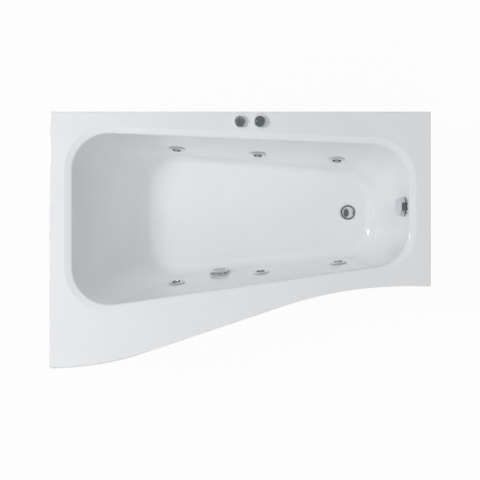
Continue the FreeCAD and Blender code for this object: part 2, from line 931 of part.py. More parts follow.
# Jets
jet_face_low = seat_gap + jet_flange_thickness + run_gap
jet_face_top = jet_face_low + jet_face_height
ball_centre = jet_face_top + ball_proud - ball_radius
jet_body_radius = jet_hole_radius - seat_gap
gasket_low = -wall - seat_gap - gasket_thickness


def jet_body():
    seat = -jet_sleeve_length - run_gap
    flange = ring(jet_flange_radius, jet_body_radius, seat_gap, seat_gap + jet_flange_thickness)
    body = disc(jet_body_radius, -jet_body_length, seat_gap + jet_flange_thickness)
    water = disc(water_spigot_radius, -jet_body_length - water_spigot_length, -jet_body_length)
    air_start = Vector(0, 0, -air_port_depth)
    air_end = Vector(0, air_line_rise - air_spigot_radius, -air_port_depth)
    solid = joined([flange, body, water, rod(air_spigot_radius, air_start, air_end)])
    bores = [
        disc(jet_sleeve_radius + run_gap, seat, jet_face_top),
        disc(jet_sleeve_radius - jet_body_wall, jet_body_wall - jet_body_length, 0),
        disc(water_spigot_bore, -jet_body_length - water_spigot_length - overrun, 0),
        rod(air_spigot_bore, air_start, air_end + Vector(0, overrun, 0)),
    ]
    return solid.cut(bores)


def jet_ring():
    rim = turned([
        (0, -jet_sleeve_length),
        (jet_sleeve_radius, -jet_sleeve_length),
        (jet_sleeve_radius, jet_face_low),
        (jet_face_radius, jet_face_low),
        (jet_face_radius, jet_face_low + jet_face_edge),
        (jet_crest_radius, jet_face_top),
        (jet_crest_radius - jet_crest_width, jet_face_top),
        (jet_dish_radius, jet_face_top - jet_dish_depth),
        (0, jet_face_top - jet_dish_depth),
    ])
    seat = Part.makeSphere(ball_radius + run_gap, Vector(0, 0, ball_centre))
    return rim.cut(seat)


def jet_ball():
    centre = Vector(0, 0, ball_centre)
    ball = Part.makeSphere(ball_radius, centre)
    bore = disc(ball_bore_radius, ball_centre - 2 * ball_radius, ball_centre + 2 * ball_radius)
    mouth_low = Vector(0, 0, ball_centre + ball_radius - ball_mouth_depth)
    mouth = Part.makeCone(ball_bore_radius, ball_mouth_radius, ball_mouth_depth, mouth_low)
    return ball.cut([bore, mouth])


def build_jets():
    save("jet_bodies", Part.makeCompound([placed(jet_body(), frame) for frame in jet_frames]))
    save("jet_rings", Part.makeCompound([placed(jet_ring(), frame) for frame in jet_frames]))
    for number, frame in enumerate(jet_frames, 1):
        save("jet_ball_%d" % number, placed(jet_ball(), frame))


def build_nuts_and_gaskets():
    nuts = []
    gaskets = []
    fittings = [(frame, jet_body_radius) for frame in jet_frames]
    fittings.append((suction_frame, suction_hole_radius - seat_gap))
    for frame, radius in fittings:
        gasket = ring(radius + nut_rim, radius + seat_gap, gasket_low, -wall - seat_gap)
        nut = hex_nut(radius + nut_rim, radius + seat_gap, gasket_low - nut_height, gasket_low)
        gaskets.append(placed(gasket, frame))
        nuts.append(placed(nut, frame))
    for frame in (button_frame, knob_frame):
        radius = control_sleeve_radius
        nut = hex_nut(radius + nut_rim, radius + seat_gap, -wall - nut_height, -wall)
        nuts.append(placed(nut, frame))
    drain_seal = ring(drain_body_flange, drain_hole_radius, gasket_low, -wall)
    gaskets.append(placed(drain_seal, drain_frame))
    overflow_seal = ring(overflow_housing_radius, overflow_hole_radius, gasket_low, -wall - seat_gap)
    gaskets.append(placed(overflow_seal, overflow_frame))
    save("fixing_nuts", Part.makeCompound(nuts))
    save("wall_gaskets", Part.makeCompound(gaskets))


# Water and air lines: each manifold is a straight pipe behind its three jets, with a socket at each
water_bore = water_spigot_radius + seat_gap
manifold_bore = water_pipe_radius - tee_wall
air_bore = air_spigot_radius + seat_gap


def water_point(frame):
    return spot(frame, 0, 0, -water_line_reach)


def air_point(frame):
    return spot(frame, 0, air_line_rise, -air_port_depth)


front_water = [water_point(frame) for frame in front_jets]
back_water = [water_point(frame) for frame in back_jets]
front_air = [air_point(frame) for frame in front_jets]
back_air = [air_point(frame) for frame in back_jets]
tee_centre = line_at_x(front_water[0], front_water[-1], outlet_x)
tee_run = (front_water[-1] - front_water[0]).normalize()


def air_turn_x():
    """The air feed goes round the head end behind the basin's sloping wall."""
    share = (deck_height - front_air[0].z - bevel_drop) / wall_drop
    inner_x = rim_inner[HEAD].x + (floor_head_x - rim_inner[HEAD].x) * share
    return inner_x - wall / math.cos(leans[HEAD]) - air_feed_gap


def water_sockets(frames):
    outers = []
    bores = []
    for frame in frames:
        mouth = spot(frame, 0, 0, -jet_body_length - seat_gap)
        centre = water_point(frame)
        outers.append(rod(water_bore + tee_wall, mouth, centre))
        bores.append(rod(water_bore, mouth + (mouth - centre), centre))
    return outers, bores


def air_sockets(frames):
    outers = []
    bores = []
    for frame in frames:
        mouth = spot(frame, 0, jet_body_radius + seat_gap, -air_port_depth)
        centre = air_point(frame)
        outers.append(rod(air_pipe_radius, mouth, centre))
        bores.append(rod(air_bore, mouth + (mouth - centre), centre))
    return outers, bores


def water_manifold_front():
    end = front_water[-1] + tee_run * water_line_end
    outers, bores = water_sockets(front_jets)
    socket_low = tee_centre - Vector(0, 0, tee_socket_depth)
    land = tee_centre - Vector(0, 0, tee_socket_land)
    outers.append(rod(water_pipe_radius, tee_centre - tee_run * tee_gap, end))
    sleeve_reach = tee_run * tee_reach
    outers.append(rod(water_pipe_radius + tee_wall, tee_centre - sleeve_reach, tee_centre + sleeve_reach))
    outers.append(rod(outlet_radius + tee_wall, socket_low, tee_centre))
    bores.append(rod(manifold_bore, tee_centre - tee_run * tee_reach, end - tee_run * tee_wall))
    feed_end = tee_centre - tee_run * tee_gap
    bores.append(rod(water_pipe_radius + seat_gap, feed_end - tee_run * tee_reach, feed_end))
    bores.append(rod(outlet_radius + seat_gap, socket_low - Vector(0, 0, overrun), land))
    bores.append(rod(outlet_bore, land, tee_centre))
    return joined(outers).cut(bores)


def water_manifold_back():
    run = (back_water[-1] - back_water[0]).normalize()
    start = back_water[0] - run * feed_start
    end = back_water[-1] + run * water_line_end
    outers, bores = water_sockets(back_jets)
    outers.append(rod(water_pipe_radius, start, end))
    outers.append(rod(water_pipe_radius + tee_wall, start - run * tee_gap, start + run * tee_gap))
    bores.append(rod(manifold_bore, start - run * overrun, end - run * tee_wall))
    bores.append(rod(water_pipe_radius + seat_gap, start - run * tee_reach, start))
    return joined(outers).cut(bores)


def water_feed_points():
    turn_x = head_x + water_feed_gap
    run = (back_water[-1] - back_water[0]).normalize()
    return [
        tee_centre - tee_run * tee_gap,
        line_at_x(front_water[0], front_water[-1], turn_x),
        line_at_x(back_water[0], back_water[-1], turn_x),
        back_water[0] - run * feed_start,
    ]


def air_line_front():
    run = (front_air[-1] - front_air[0]).normalize()
    back_run = (back_air[-1] - back_air[0]).normalize()
    turn_x = air_turn_x()
    end = front_air[-1] + run * air_line_end
    feed = [
        front_air[0],
        line_at_x(front_air[0], front_air[-1], turn_x),
        line_at_x(back_air[0], back_air[-1], turn_x),
        back_air[0] - back_run * feed_start,
    ]
    outers, bores = air_sockets(front_jets)
    outers.append(rod(air_pipe_radius, front_air[0], end))
    outers.append(swept(feed, air_bend_radius, air_pipe_radius))
    bores.append(rod(air_bore, front_air[0], end - run * air_bore))
    bores.append(swept(feed, air_bend_radius, air_bore))
    return joined(outers).cut(bores)


def air_line_back():
    run = (back_air[-1] - back_air[0]).normalize()
    start = back_air[0] - run * feed_start
    end = back_air[-1] + run * air_line_end
    top = spot(knob_frame, 0, 0, -control_sleeve_length)
    meet = line_at_x(back_air[0], back_air[-1], top.x + air_drop_shift)
    drop = [
        top,
        top - Vector(0, 0, air_drop_run),
        Vector(meet.x, top.y, meet.z),
        meet,
    ]
    outers, bores = air_sockets(back_jets)
    outers.append(rod(air_pipe_radius, start, end))
    outers.append(swept(drop, air_drop_bend, air_pipe_radius))
    bores.append(rod(air_bore, start - run * overrun, end - run * air_bore))
    bores.append(swept(drop, air_drop_bend, air_bore))
    return joined(outers).cut(bores)


def build_lines():
    save("water_manifold_front", water_manifold_front())
    save("water_manifold_back", water_manifold_back())
    save("water_feed_pipe", hose(water_feed_points(), water_bend_radius, water_pipe_radius, water_bore))
    save("air_line_front", air_line_front())
    save("air_line_back", air_line_back())


# Suction fitting: its outlet leaves along the wall towards the head
suction_body_radius = suction_hole_radius - seat_gap
suction_face_low = seat_gap + jet_flange_thickness + seat_gap
suction_port_depth = nut_height + suction_port_gap + suction_pipe_radius - gasket_low
suction_body_length = suction_port_depth + suction_spigot_radius + jet_body_wall


def suction_body():
    flange = disc(suction_flange_radius, seat_gap, seat_gap + jet_flange_thickness)
    cup = disc(suction_body_radius, -suction_body_length, seat_gap)
    outlet_end = Vector(suction_spigot_reach, 0, -suction_port_depth)
    outlet = rod(suction_spigot_radius, Vector(0, 0, -suction_port_depth), outlet_end)
    mouth = disc(suction_body_radius - jet_body_wall, jet_body_wall - suction_body_length, suction_face_low)
    bore = rod(suction_spigot_bore, Vector(0, 0, -suction_port_depth), outlet_end + Vector(overrun, 0, 0))
    return joined([flange, cup, outlet]).cut([mouth, bore])


def suction_grille():
    top = suction_face_low + suction_face_height
    dome = turned([
        (0, suction_face_low),
        (suction_face_radius, suction_face_low),
        (suction_face_radius, top - suction_face_chamfer),
        (suction_face_radius - suction_face_chamfer, top),
        (0, top),
    ])
    hollow = disc(suction_body_radius - jet_body_wall, suction_face_low - overrun, top - grille_wall)
    holes = []
    for share, count in zip(grille_ring_shares, grille_ring_counts):
        for index in range(count):
            turn = polar(count, index)
            place = Vector(math.cos(turn), math.sin(turn), 0) * (suction_body_radius * share)
            hole = disc(grille_hole_radius, 0, top + overrun)
            hole.translate(place)
            holes.append(hole)
    slot_low = Vector(suction_body_radius - jet_body_wall - overrun, -side_slot_width / 2,
                      suction_face_low + side_slot_rise)
    slot_high = Vector(suction_face_radius + overrun, side_slot_width / 2, slot_low.z + side_slot_height)
    for index in range(side_slot_count):
        slot = block(slot_low, slot_high)
        slot.rotate(Vector(0, 0, 0), Vector(0, 0, 1), math.degrees(polar(side_slot_count, index)))
        holes.append(slot)
    return dome.cut([hollow] + holes)


# Pump, lying along X with its inlet towards the foot end
shelf_top = frame_top + shelf_thickness
pump_axis = Vector(0, tee_centre.y - outlet_offset, shelf_top + pump_rise)
volute_back = outlet_x - volute_half
volute_front = outlet_x + volute_half
motor_start = volute_back - motor_length


def pump_at(x):
    return pump_axis + Vector(x, 0, 0)


def pump_rod(radius, start_x, end_x):
    return rod(radius, pump_at(start_x), pump_at(end_x))


def pump_shelf():
    low = Vector(frame_head_x - tube_half, pump_axis.y - shelf_half_width, frame_top)
    high = Vector(cross_head_x + tube_half, pump_axis.y + shelf_half_width, shelf_top)
    return block(low, high)


def pump_volute():
    outlet_low = pump_at(outlet_x) + Vector(0, outlet_offset, 0)
    outlet_top = tee_centre - Vector(0, 0, tee_socket_land + seat_gap)
    inlet_end = volute_front + inlet_reach
    solid = joined([
        pump_rod(volute_radius, volute_back, volute_front),
        rod(outlet_radius, outlet_low, outlet_top),
        pump_rod(suction_spigot_radius, volute_front, inlet_end),
    ])
    return solid.cut([
        pump_rod(volute_radius - volute_wall, volute_back + volute_wall, volute_front - volute_wall),
        rod(outlet_bore, outlet_low, outlet_top + Vector(0, 0, overrun)),
        pump_rod(suction_spigot_bore, outlet_x, inlet_end + overrun),
        pump_rod(shaft_radius + run_gap, volute_back - overrun, outlet_x),
    ])


impeller_back = volute_back + volute_wall + impeller_gap
impeller_front = volute_front - volute_wall - impeller_gap


def pump_impeller():
    solid = [
        pump_rod(impeller_radius, impeller_back, impeller_back + impeller_disc),
        pump_rod(suction_spigot_bore - impeller_gap, impeller_back, impeller_front),
    ]
    for index in range(blade_count):
        blade = block(
            pump_at(impeller_back) + Vector(0, -blade_width / 2, 0),
            pump_at(impeller_front) + Vector(0, blade_width / 2, impeller_radius - blade_width))
        blade.rotate(pump_axis, Vector(1, 0, 0), math.degrees(polar(blade_count, index)))
        solid.append(blade)
    return joined(solid).cut(pump_rod(shaft_radius, impeller_back - overrun, impeller_front - impeller_gap))


def motor_housing():
    foot_middle = (motor_start + volute_back) / 2
    foot_low = Vector(foot_middle - motor_foot_length / 2, pump_axis.y - motor_foot_width / 2, shelf_top)
    foot_high = Vector(foot_middle + motor_foot_length / 2, pump_axis.y + motor_foot_width / 2, pump_axis.z)
    solid = [pump_rod(motor_radius, motor_start, volute_back), block(foot_low, foot_high)]
    for index in range(motor_fin_count):
        turn = polar(motor_fin_count, index, math.pi / motor_fin_count)
        if abs(math.sin(turn)) > math.cos(math.pi / 4):
            continue
        low = Vector(motor_start + motor_end_wall, 0, -motor_fin_width / 2)
        high = Vector(volute_back - motor_end_wall, motor_radius + motor_fin_height, motor_fin_width / 2)
        fin = block(pump_axis + low, pump_axis + high)
        fin.rotate(pump_axis, Vector(1, 0, 0), math.degrees(turn))
        solid.append(fin)
    bores = [
        pump_rod(motor_radius - motor_wall, motor_start + motor_end_wall, volute_back - motor_end_wall),
        pump_rod(bearing_radius, motor_start + motor_wall, volute_back + overrun),
    ]
    return joined(solid).cut(bores)


def motor_bearings():
    starts = (motor_start + motor_wall, volute_back - motor_end_wall)
    width = motor_end_wall - motor_wall
    rings = []
    for start in starts:
        outer = pump_rod(bearing_radius, start, start + width)
        rings.append(outer.cut(pump_rod(shaft_radius + fit_gap, start - overrun, start + width + overrun)))
    return Part.makeCompound(rings)


def motor_shaft():
    middle = (motor_start + volute_back) / 2
    return joined([
        pump_rod(shaft_radius, motor_start + motor_wall + fit_gap, impeller_front - impeller_gap),
        pump_rod(rotor_radius, middle - rotor_length / 2, middle + rotor_length / 2),
    ])


box_middle = (motor_start + volute_back) / 2
box_base = pump_axis.z + math.sqrt(motor_radius ** 2 - (box_width / 2) ** 2)
switch_height = pump_axis.z + motor_radius + box_height / 2


def terminal_box():
    motor_top = pump_axis.z + motor_radius
    low = Vector(box_middle - box_length / 2, pump_axis.y - box_width / 2, box_base)
    high = Vector(box_middle + box_length / 2, pump_axis.y + box_width / 2, motor_top + box_height)
    rim = Vector(box_wall, box_wall, 0)
    floor = Vector(0, 0, motor_top + box_wall - box_base)
    solid = block(low, high)
    hollow = block(low + rim + floor, high - rim - Vector(0, 0, box_wall))
    saddle = pump_rod(motor_radius + seat_gap, motor_start, volute_back)
    gland_start = Vector(low.x + box_wall, pump_axis.y - gland_radius, switch_height)
    gland_end = gland_start - Vector(gland_length + box_wall, 0, 0)
    spigot_start = Vector(low.x + box_wall, pump_axis.y + gland_radius, switch_height)
    spigot_end = spigot_start - Vector(button_spigot_length + box_wall, 0, 0)
    past = Vector(overrun, 0, 0)
    body = solid.cut([hollow, saddle]).multiFuse([
        rod(gland_radius, gland_start, gland_end),
        rod(button_spigot_radius, spigot_start, spigot_end),
    ])
    return body.cut([
        rod(gland_bore, gland_start + past, gland_end - past),
        rod(button_spigot_bore, spigot_start + past, spigot_end - past),
    ])


def build_pump():
    inlet = pump_at(volute_front + seat_gap)
    start = spot(suction_frame, suction_pipe_start, 0, -suction_port_depth)
    ahead = suction_frame.Rotation.multVec(Vector(suction_run, 0, 0))
    pipe_points = [start, start + ahead, inlet + Vector(inlet_reach + suction_run, 0, 0), inlet]
    bore = suction_spigot_radius + seat_gap
    save("suction_body", placed(suction_body(), suction_frame))
    save("suction_grille", placed(suction_grille(), suction_frame))
    save("suction_pipe", hose(pipe_points, suction_bend_radius, suction_pipe_radius, bore))
    save("pump_shelf", pump_shelf())
    save("pump_volute", pump_volute())
    save("pump_impeller", pump_impeller())
    save("motor_housing", motor_housing())
    save("motor_bearings", motor_bearings())
    save("motor_shaft", motor_shaft())
    save("terminal_box", terminal_box())


# Deck controls
button_low = button_floor - control_sleeve_length
bellows_top = button_cap_low - seat_gap


def button_housing():
    spigot_end = -control_sleeve_length - button_spigot_length
    solid = turned([
        (0, spigot_end),
        (button_spigot_radius, spigot_end),
        (button_spigot_radius, -control_sleeve_length),
        (control_sleeve_radius, -control_sleeve_length),
        (control_sleeve_radius, 0),
        (control_radius, 0),
        (control_radius, button_bezel_height - knob_chamfer),
        (control_radius - knob_chamfer, button_bezel_height),
        (0, button_bezel_height),
    ])
    return solid.cut([
        disc(button_cap_radius + run_gap, button_low, button_bezel_height + overrun),
        disc(button_spigot_bore, spigot_end - overrun, 0),
    ])


def button_cap():
    top = button_bezel_height + button_cap_proud
    return turned([
        (0, button_cap_low),
        (button_cap_radius, button_cap_low),
        (button_cap_radius, top - knob_chamfer / 2),
        (button_cap_radius - knob_chamfer / 2, top),
        (0, top),
    ])


def button_bellows():
    step = (bellows_top - button_low) / (2 * bellows_ribs)
    outline = []
    for index in range(2 * bellows_ribs + 1):
        radius = bellows_radius if index % 2 == 0 else bellows_neck_radius
        outline.append((radius, button_low + step * index))
    inside = [(radius - bellows_wall, height) for radius, height in reversed(outline)]
    return turned(outline + inside)


def regulator_housing():
    outlet_end = -control_sleeve_length - air_outlet_length
    solid = turned([
        (0, outlet_end),
        (air_spigot_radius, outlet_end),
        (air_spigot_radius, -control_sleeve_length),
        (control_sleeve_radius, -control_sleeve_length),
        (control_sleeve_radius, 0),
        (control_radius, 0),
        (control_radius, control_base / 2),
        (control_radius - knob_chamfer, control_base),
        (0, control_base),
    ])
    return solid.cut([
        disc(knob_stem_radius + fit_gap, -knob_stem_length - run_gap, control_base + overrun),
        disc(air_spigot_bore, outlet_end - overrun, 0),
    ])


def regulator_knob():
    low = control_base + run_gap
    top = low + knob_height
    solid = turned([
        (0, -knob_stem_length),
        (knob_stem_radius, -knob_stem_length),
        (knob_stem_radius, low),
        (control_radius, low),
        (control_radius, top - knob_chamfer),
        (control_radius - knob_chamfer, top),
        (0, top),
    ])
    cuts = []
    for index in range(knob_grip_count):
        turn = polar(knob_grip_count, index)
        grip = disc(knob_grip_radius, low + knob_chamfer, top + overrun)
        grip.translate(Vector(math.cos(turn), math.sin(turn), 0) * control_radius)
        cuts.append(grip)
    mark = disc(knob_mark_radius, top - knob_mark_depth, top + overrun)
    mark.translate(Vector(4 * knob_mark_radius - control_radius, 0, 0))
    return solid.cut(cuts + [mark])


def button_tube_points():
    start = spot(button_frame, 0, 0, -control_sleeve_length)
    room = start.z - switch_tube_bend - back_air[0].z
    level = start - Vector(0, 0, switch_tube_bend + room * switch_tube_drop_share)
    turn_x = head_x + switch_tube_gap
    end = Vector(box_middle - box_length / 2, pump_axis.y + gland_radius, switch_height)
    return [
        start,
        level,
        Vector(turn_x, level.y, level.z),
        Vector(turn_x, end.y, level.z),
        Vector(turn_x, end.y, end.z),
        end,
    ]


def build_controls():
    save("button_housing", placed(button_housing(), button_frame))
    save("button_cap", placed(button_cap(), button_frame))
    save("button_bellows", placed(button_bellows(), button_frame))
    tube_bore = button_spigot_radius + seat_gap
    save("button_air_tube", hose(button_tube_points(), switch_tube_bend, switch_tube_radius, tube_bore))
    save("regulator_housing", placed(regulator_housing(), knob_frame))
    save("regulator_knob", placed(regulator_knob(), knob_frame))


# Drain, with its side port towards the foot end
drain_top = seat_gap + drain_flange_height
drain_body_top = gasket_low
drain_body_low = -drain_body_depth
overflow_port_z = -overflow_port_depth


def drain_flange():
    sleeve = drain_bore_radius + drain_sleeve_wall
    solid = turned([
        (drain_bore_radius, -drain_sleeve_length),
        (sleeve, -drain_sleeve_length),
        (sleeve, seat_gap),
        (drain_flange_radius, seat_gap),
        (drain_flange_radius, drain_top - drain_flange_chamfer),
        (drain_flange_radius - drain_flange_chamfer, drain_top),
        (drain_bore_radius, drain_top),
    ])
    spider_low = -drain_sleeve_length
    spider_high = spider_low + spider_height
    parts = [solid, disc(spider_hub_radius, spider_low, spider_high)]
    arm_reach = drain_bore_radius + drain_sleeve_wall / 2
    for index in range(3):
        arm_low = Vector(0, -spider_width / 2, spider_low)
        arm = block(arm_low, Vector(arm_reach, spider_width / 2, spider_high))
        arm.rotate(Vector(0, 0, 0), Vector(0, 0, 1), math.degrees(polar(3, index)))
        parts.append(arm)
    return joined(parts).cut(disc(plug_stem_radius + fit_gap, spider_low - overrun, spider_high + overrun))


def drain_plug():
    low = drain_top + run_gap
    stem_end = -drain_sleeve_length - plug_stem_reach
    dome = Part.makeSphere(plug_dome_radius, Vector(0, 0, low + plug_crown - plug_dome_radius))
    crown = disc(plug_radius, low, low + plug_crown).common(dome)
    return joined([disc(plug_stem_radius, stem_end, low), crown])


def drain_body():
    inside = drain_body_radius - drain_body_wall
    sleeve = drain_bore_radius + drain_sleeve_wall + seat_gap
    port_end = Vector(overflow_spigot_reach, 0, overflow_port_z)
    boss_start = Vector(0, -cable_offset, overflow_port_z)
    boss_end = boss_start + Vector(cable_boss_reach, 0, 0)
    solid = joined([
        disc(drain_body_flange, drain_body_top - drain_body_flange_thickness, drain_body_top),
        disc(drain_body_radius, drain_body_low, drain_body_top),
        disc(waste_radius, drain_body_low - waste_length, drain_body_low),
        rod(overflow_spigot_radius, Vector(0, 0, overflow_port_z), port_end),
        rod(cable_boss_radius, boss_start, boss_end),
    ])
    cavity = [
        disc(sleeve, drain_body_low + drain_body_wall, drain_body_top + overrun),
        disc(inside, drain_body_low + drain_body_wall, drain_body_top - drain_body_flange_thickness),
        disc(waste_bore, drain_body_low - waste_length - overrun, 0),
        rod(overflow_spigot_bore, Vector(0, 0, overflow_port_z), port_end + Vector(overrun, 0, 0)),
    ]
    return solid.cut(cavity)


def waste_trap():
    socket = waste_radius + seat_gap
    top = drain_body_low - seat_gap
    cup_top = top - trap_socket_length
    low = cup_top - trap_height
    outlet_z = cup_top - trap_wall - waste_radius
    collar_end = Vector(0, trap_radius + trap_collar, outlet_z)
    outlet_end = collar_end + Vector(0, trap_outlet_length, 0)
    solid = joined([
        disc(socket + trap_wall, cup_top, top),
        disc(trap_radius, low, cup_top),
        rod(waste_radius + trap_wall, Vector(0, 0, outlet_z), collar_end),
        rod(waste_radius, Vector(0, 0, outlet_z), outlet_end),
    ])
    inside = disc(trap_radius - trap_wall, low + trap_wall, cup_top - trap_wall)
    outlet = rod(waste_bore, Vector(0, 0, outlet_z), outlet_end + Vector(0, overrun, 0))
    return solid.cut([inside, outlet, disc(socket, cup_top - trap_wall - overrun, top + overrun)])


# Overflow, on the foot wall
rosette_top = seat_gap + rosette_height
overflow_knob_low = rosette_top + overflow_slot
housing_top = gasket_low
housing_low = housing_top - overflow_housing_depth
overflow_spigot_z = (housing_top + housing_low) / 2


def overflow_rosette():
    sleeve = overflow_hole_radius - seat_gap
    solid = turned([
        (rosette_bore, housing_top),
        (sleeve, housing_top),
        (sleeve, seat_gap),
        (rosette_radius, seat_gap),
        (rosette_radius, rosette_top - knob_chamfer),
        (rosette_radius - knob_chamfer, rosette_top),
        (rosette_bore, rosette_top),
    ])
    notches = []
    notch_low = Vector(rosette_radius - rosette_notch_depth, -rosette_notch_width / 2, seat_gap)
    notch_high = Vector(rosette_radius + overrun, rosette_notch_width / 2, rosette_top + overrun)
    for index in range(rosette_notch_count):
        notch = block(notch_low, notch_high)
        notch.rotate(Vector(0, 0, 0), Vector(0, 0, 1), math.degrees(polar(rosette_notch_count, index)))
        notches.append(notch)
    return solid.cut(notches)


def flat_outline(reach, height):
    corner_reach = reach / math.cos(math.pi / knob_flat_count)
    corners = []
    for index in range(knob_flat_count):
        turn = polar(knob_flat_count, index, math.pi / knob_flat_count)
        corners.append(Vector(math.cos(turn), math.sin(turn), 0) * corner_reach + Vector(0, 0, height))
    return Part.makePolygon(corners + corners[:1])


def overflow_knob():
    low = overflow_knob_low
    stem_end = housing_low + overflow_housing_wall + run_gap
    shoulder = low + knob_face_height - knob_face_crown
    top = low + knob_face_height
    face = turned([
        (0, low),
        (knob_face_radius, low),
        (knob_face_radius, shoulder),
        (knob_face_radius - knob_face_crown, top - knob_face_crown / 4),
        (knob_face_radius - 2 * knob_face_crown, top),
        (0, top),
    ])
    back = flat_outline(knob_flat_reach, low)
    front = flat_outline(knob_flat_reach - knob_flat_taper, top)
    flats = Part.makeLoft([back, front], True, True)
    return joined([disc(overflow_stem_radius, stem_end, low), face.common(flats)])


def overflow_housing():
    spigot_end = Vector(0, -overflow_spigot_reach, overflow_spigot_z)
    boss_start = Vector(cable_offset, 0, overflow_spigot_z)
    boss_end = boss_start - Vector(0, cable_boss_reach, 0)
    floor_top = housing_low + overflow_housing_wall
    solid = joined([
        disc(overflow_housing_radius, housing_low, housing_top),
        rod(overflow_spigot_radius, Vector(0, 0, overflow_spigot_z), spigot_end),
        rod(cable_boss_radius, boss_start, boss_end),
    ])
    inside = disc(overflow_housing_radius - overflow_housing_wall, floor_top, housing_top)
    outlet = rod(overflow_spigot_bore, Vector(0, 0, overflow_spigot_z), spigot_end - Vector(0, overrun, 0))
    hub_radius = overflow_stem_radius + overflow_housing_wall
    hub = ring(hub_radius, overflow_stem_radius + fit_gap, floor_top, overflow_spigot_z)
    return joined([solid.cut([inside, outlet]), hub])


def overflow_route(offset, reach, drain_reach):
    """Points down the foot wall and in to the drain, for the pipe or for the cable beside it."""
    down = overflow_frame.Rotation.multVec(Vector(0, -1, 0))
    start = spot(overflow_frame, offset, -reach, overflow_spigot_z)
    port = spot(drain_frame, drain_reach, -offset, overflow_port_z)
    bend = start + down * ((start.z - port.z - overflow_pipe_rise) / -down.z)
    return [start, bend, port + Vector(overflow_pipe_run, 0, 0), port]


def build_waste():
    save("drain_flange", placed(drain_flange(), drain_frame))
    save("drain_plug", placed(drain_plug(), drain_frame))
    save("drain_body", placed(drain_body(), drain_frame))
    save("waste_trap", placed(waste_trap(), drain_frame))
    save("overflow_rosette", placed(overflow_rosette(), overflow_frame))
    save("overflow_knob", placed(overflow_knob(), overflow_frame))
    save("overflow_housing", placed(overflow_housing(), overflow_frame))
    pipe_points = overflow_route(0, overflow_pipe_start, overflow_pipe_start)
    pipe_bore = overflow_spigot_radius + seat_gap
    save("overflow_pipe", hose(pipe_points, overflow_bend_radius, overflow_pipe_radius, pipe_bore))
    cable_points = overflow_route(cable_offset, cable_boss_reach, cable_boss_reach)
    save("lift_cable", swept(cable_points, cable_bend_radius, cable_radius))


def main():
    os.makedirs("parts", exist_ok=True)
    save("bath_shell", bath_shell())
    save("base_board", base_board())
    build_packers()
    build_frame()
    build_feet()
    build_panel()
    build_jets()
    build_nuts_and_gaskets()
    build_lines()
    build_pump()
    build_controls()
    build_waste()


main()
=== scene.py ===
import json
import math

import bmesh
import bpy
from mathutils import Matrix, Vector


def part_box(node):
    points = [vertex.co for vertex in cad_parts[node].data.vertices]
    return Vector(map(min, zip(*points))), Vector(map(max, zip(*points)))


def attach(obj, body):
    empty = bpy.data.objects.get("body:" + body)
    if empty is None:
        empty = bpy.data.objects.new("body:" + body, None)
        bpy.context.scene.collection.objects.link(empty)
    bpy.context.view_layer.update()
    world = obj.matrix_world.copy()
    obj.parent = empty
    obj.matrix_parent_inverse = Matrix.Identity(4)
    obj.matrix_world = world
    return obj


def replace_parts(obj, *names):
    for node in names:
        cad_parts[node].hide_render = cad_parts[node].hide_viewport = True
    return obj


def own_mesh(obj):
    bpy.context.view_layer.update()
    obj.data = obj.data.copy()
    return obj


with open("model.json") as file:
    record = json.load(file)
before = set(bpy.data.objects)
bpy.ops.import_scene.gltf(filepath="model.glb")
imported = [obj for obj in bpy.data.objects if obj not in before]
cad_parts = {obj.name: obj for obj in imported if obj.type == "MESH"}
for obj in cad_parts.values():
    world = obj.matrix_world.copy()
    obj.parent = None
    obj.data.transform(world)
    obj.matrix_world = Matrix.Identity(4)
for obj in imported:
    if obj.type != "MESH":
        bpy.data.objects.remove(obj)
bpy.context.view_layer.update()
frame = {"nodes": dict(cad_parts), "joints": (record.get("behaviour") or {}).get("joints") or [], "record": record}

# Looks of an asymmetric hydromassage bath: materials, fine details, light and camera.
# Lengths are in metres, in the frame of the solids.
nodes = frame["nodes"]
joints = {joint["name"]: joint for joint in frame["joints"]}
deck_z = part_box("bath_shell")[1].z
upward = Vector((0, 0, 1))
forward = Vector((1, 0, 0))
square = ((-1, -1), (1, -1), (1, 1), (-1, 1))
even = (1, 1, 1)

# Camera
camera_rise = 3.5
view_width = 1.887
sensor_width = 36.0

# Lamps, all aimed at the middle of the deck
aim_place = Vector((0, 0, deck_z))
key_place = Vector((-2.75, 0.58, 3.60))
key_size = 0.95
key_power = 62.0
fill_place = Vector((-0.2, -3.0, 3.2))
fill_size = 1.8
fill_power = 25.0
spark_place = Vector((-2.9, 0.77, 2.2))
spark_width = 0.55
spark_length = 0.45
spark_power = 70.0

# Room: its colour by height, the grey patch overhead, the white skyline and the floor
room_levels = [
    (0.0, (0.32, 0.32, 0.325)),
    (0.28, (0.16, 0.16, 0.165)),
    (0.58, (0.13, 0.132, 0.136)),
    (0.70, (0.70, 0.703, 0.71)),
    (1.0, (0.70, 0.703, 0.71)),
]
patch_across = 0.165
patch_along = 0.26
patch_inner = 0.75
patch_outer = 1.25
patch_colour = (0.14, 0.16, 0.165)
skyline_low = 0.05
skyline_high = 0.10
white = (1, 1, 1)
floor_half = 40.0
floor_colour = (0.88, 0.88, 0.88)
floor_white_share = 0.95

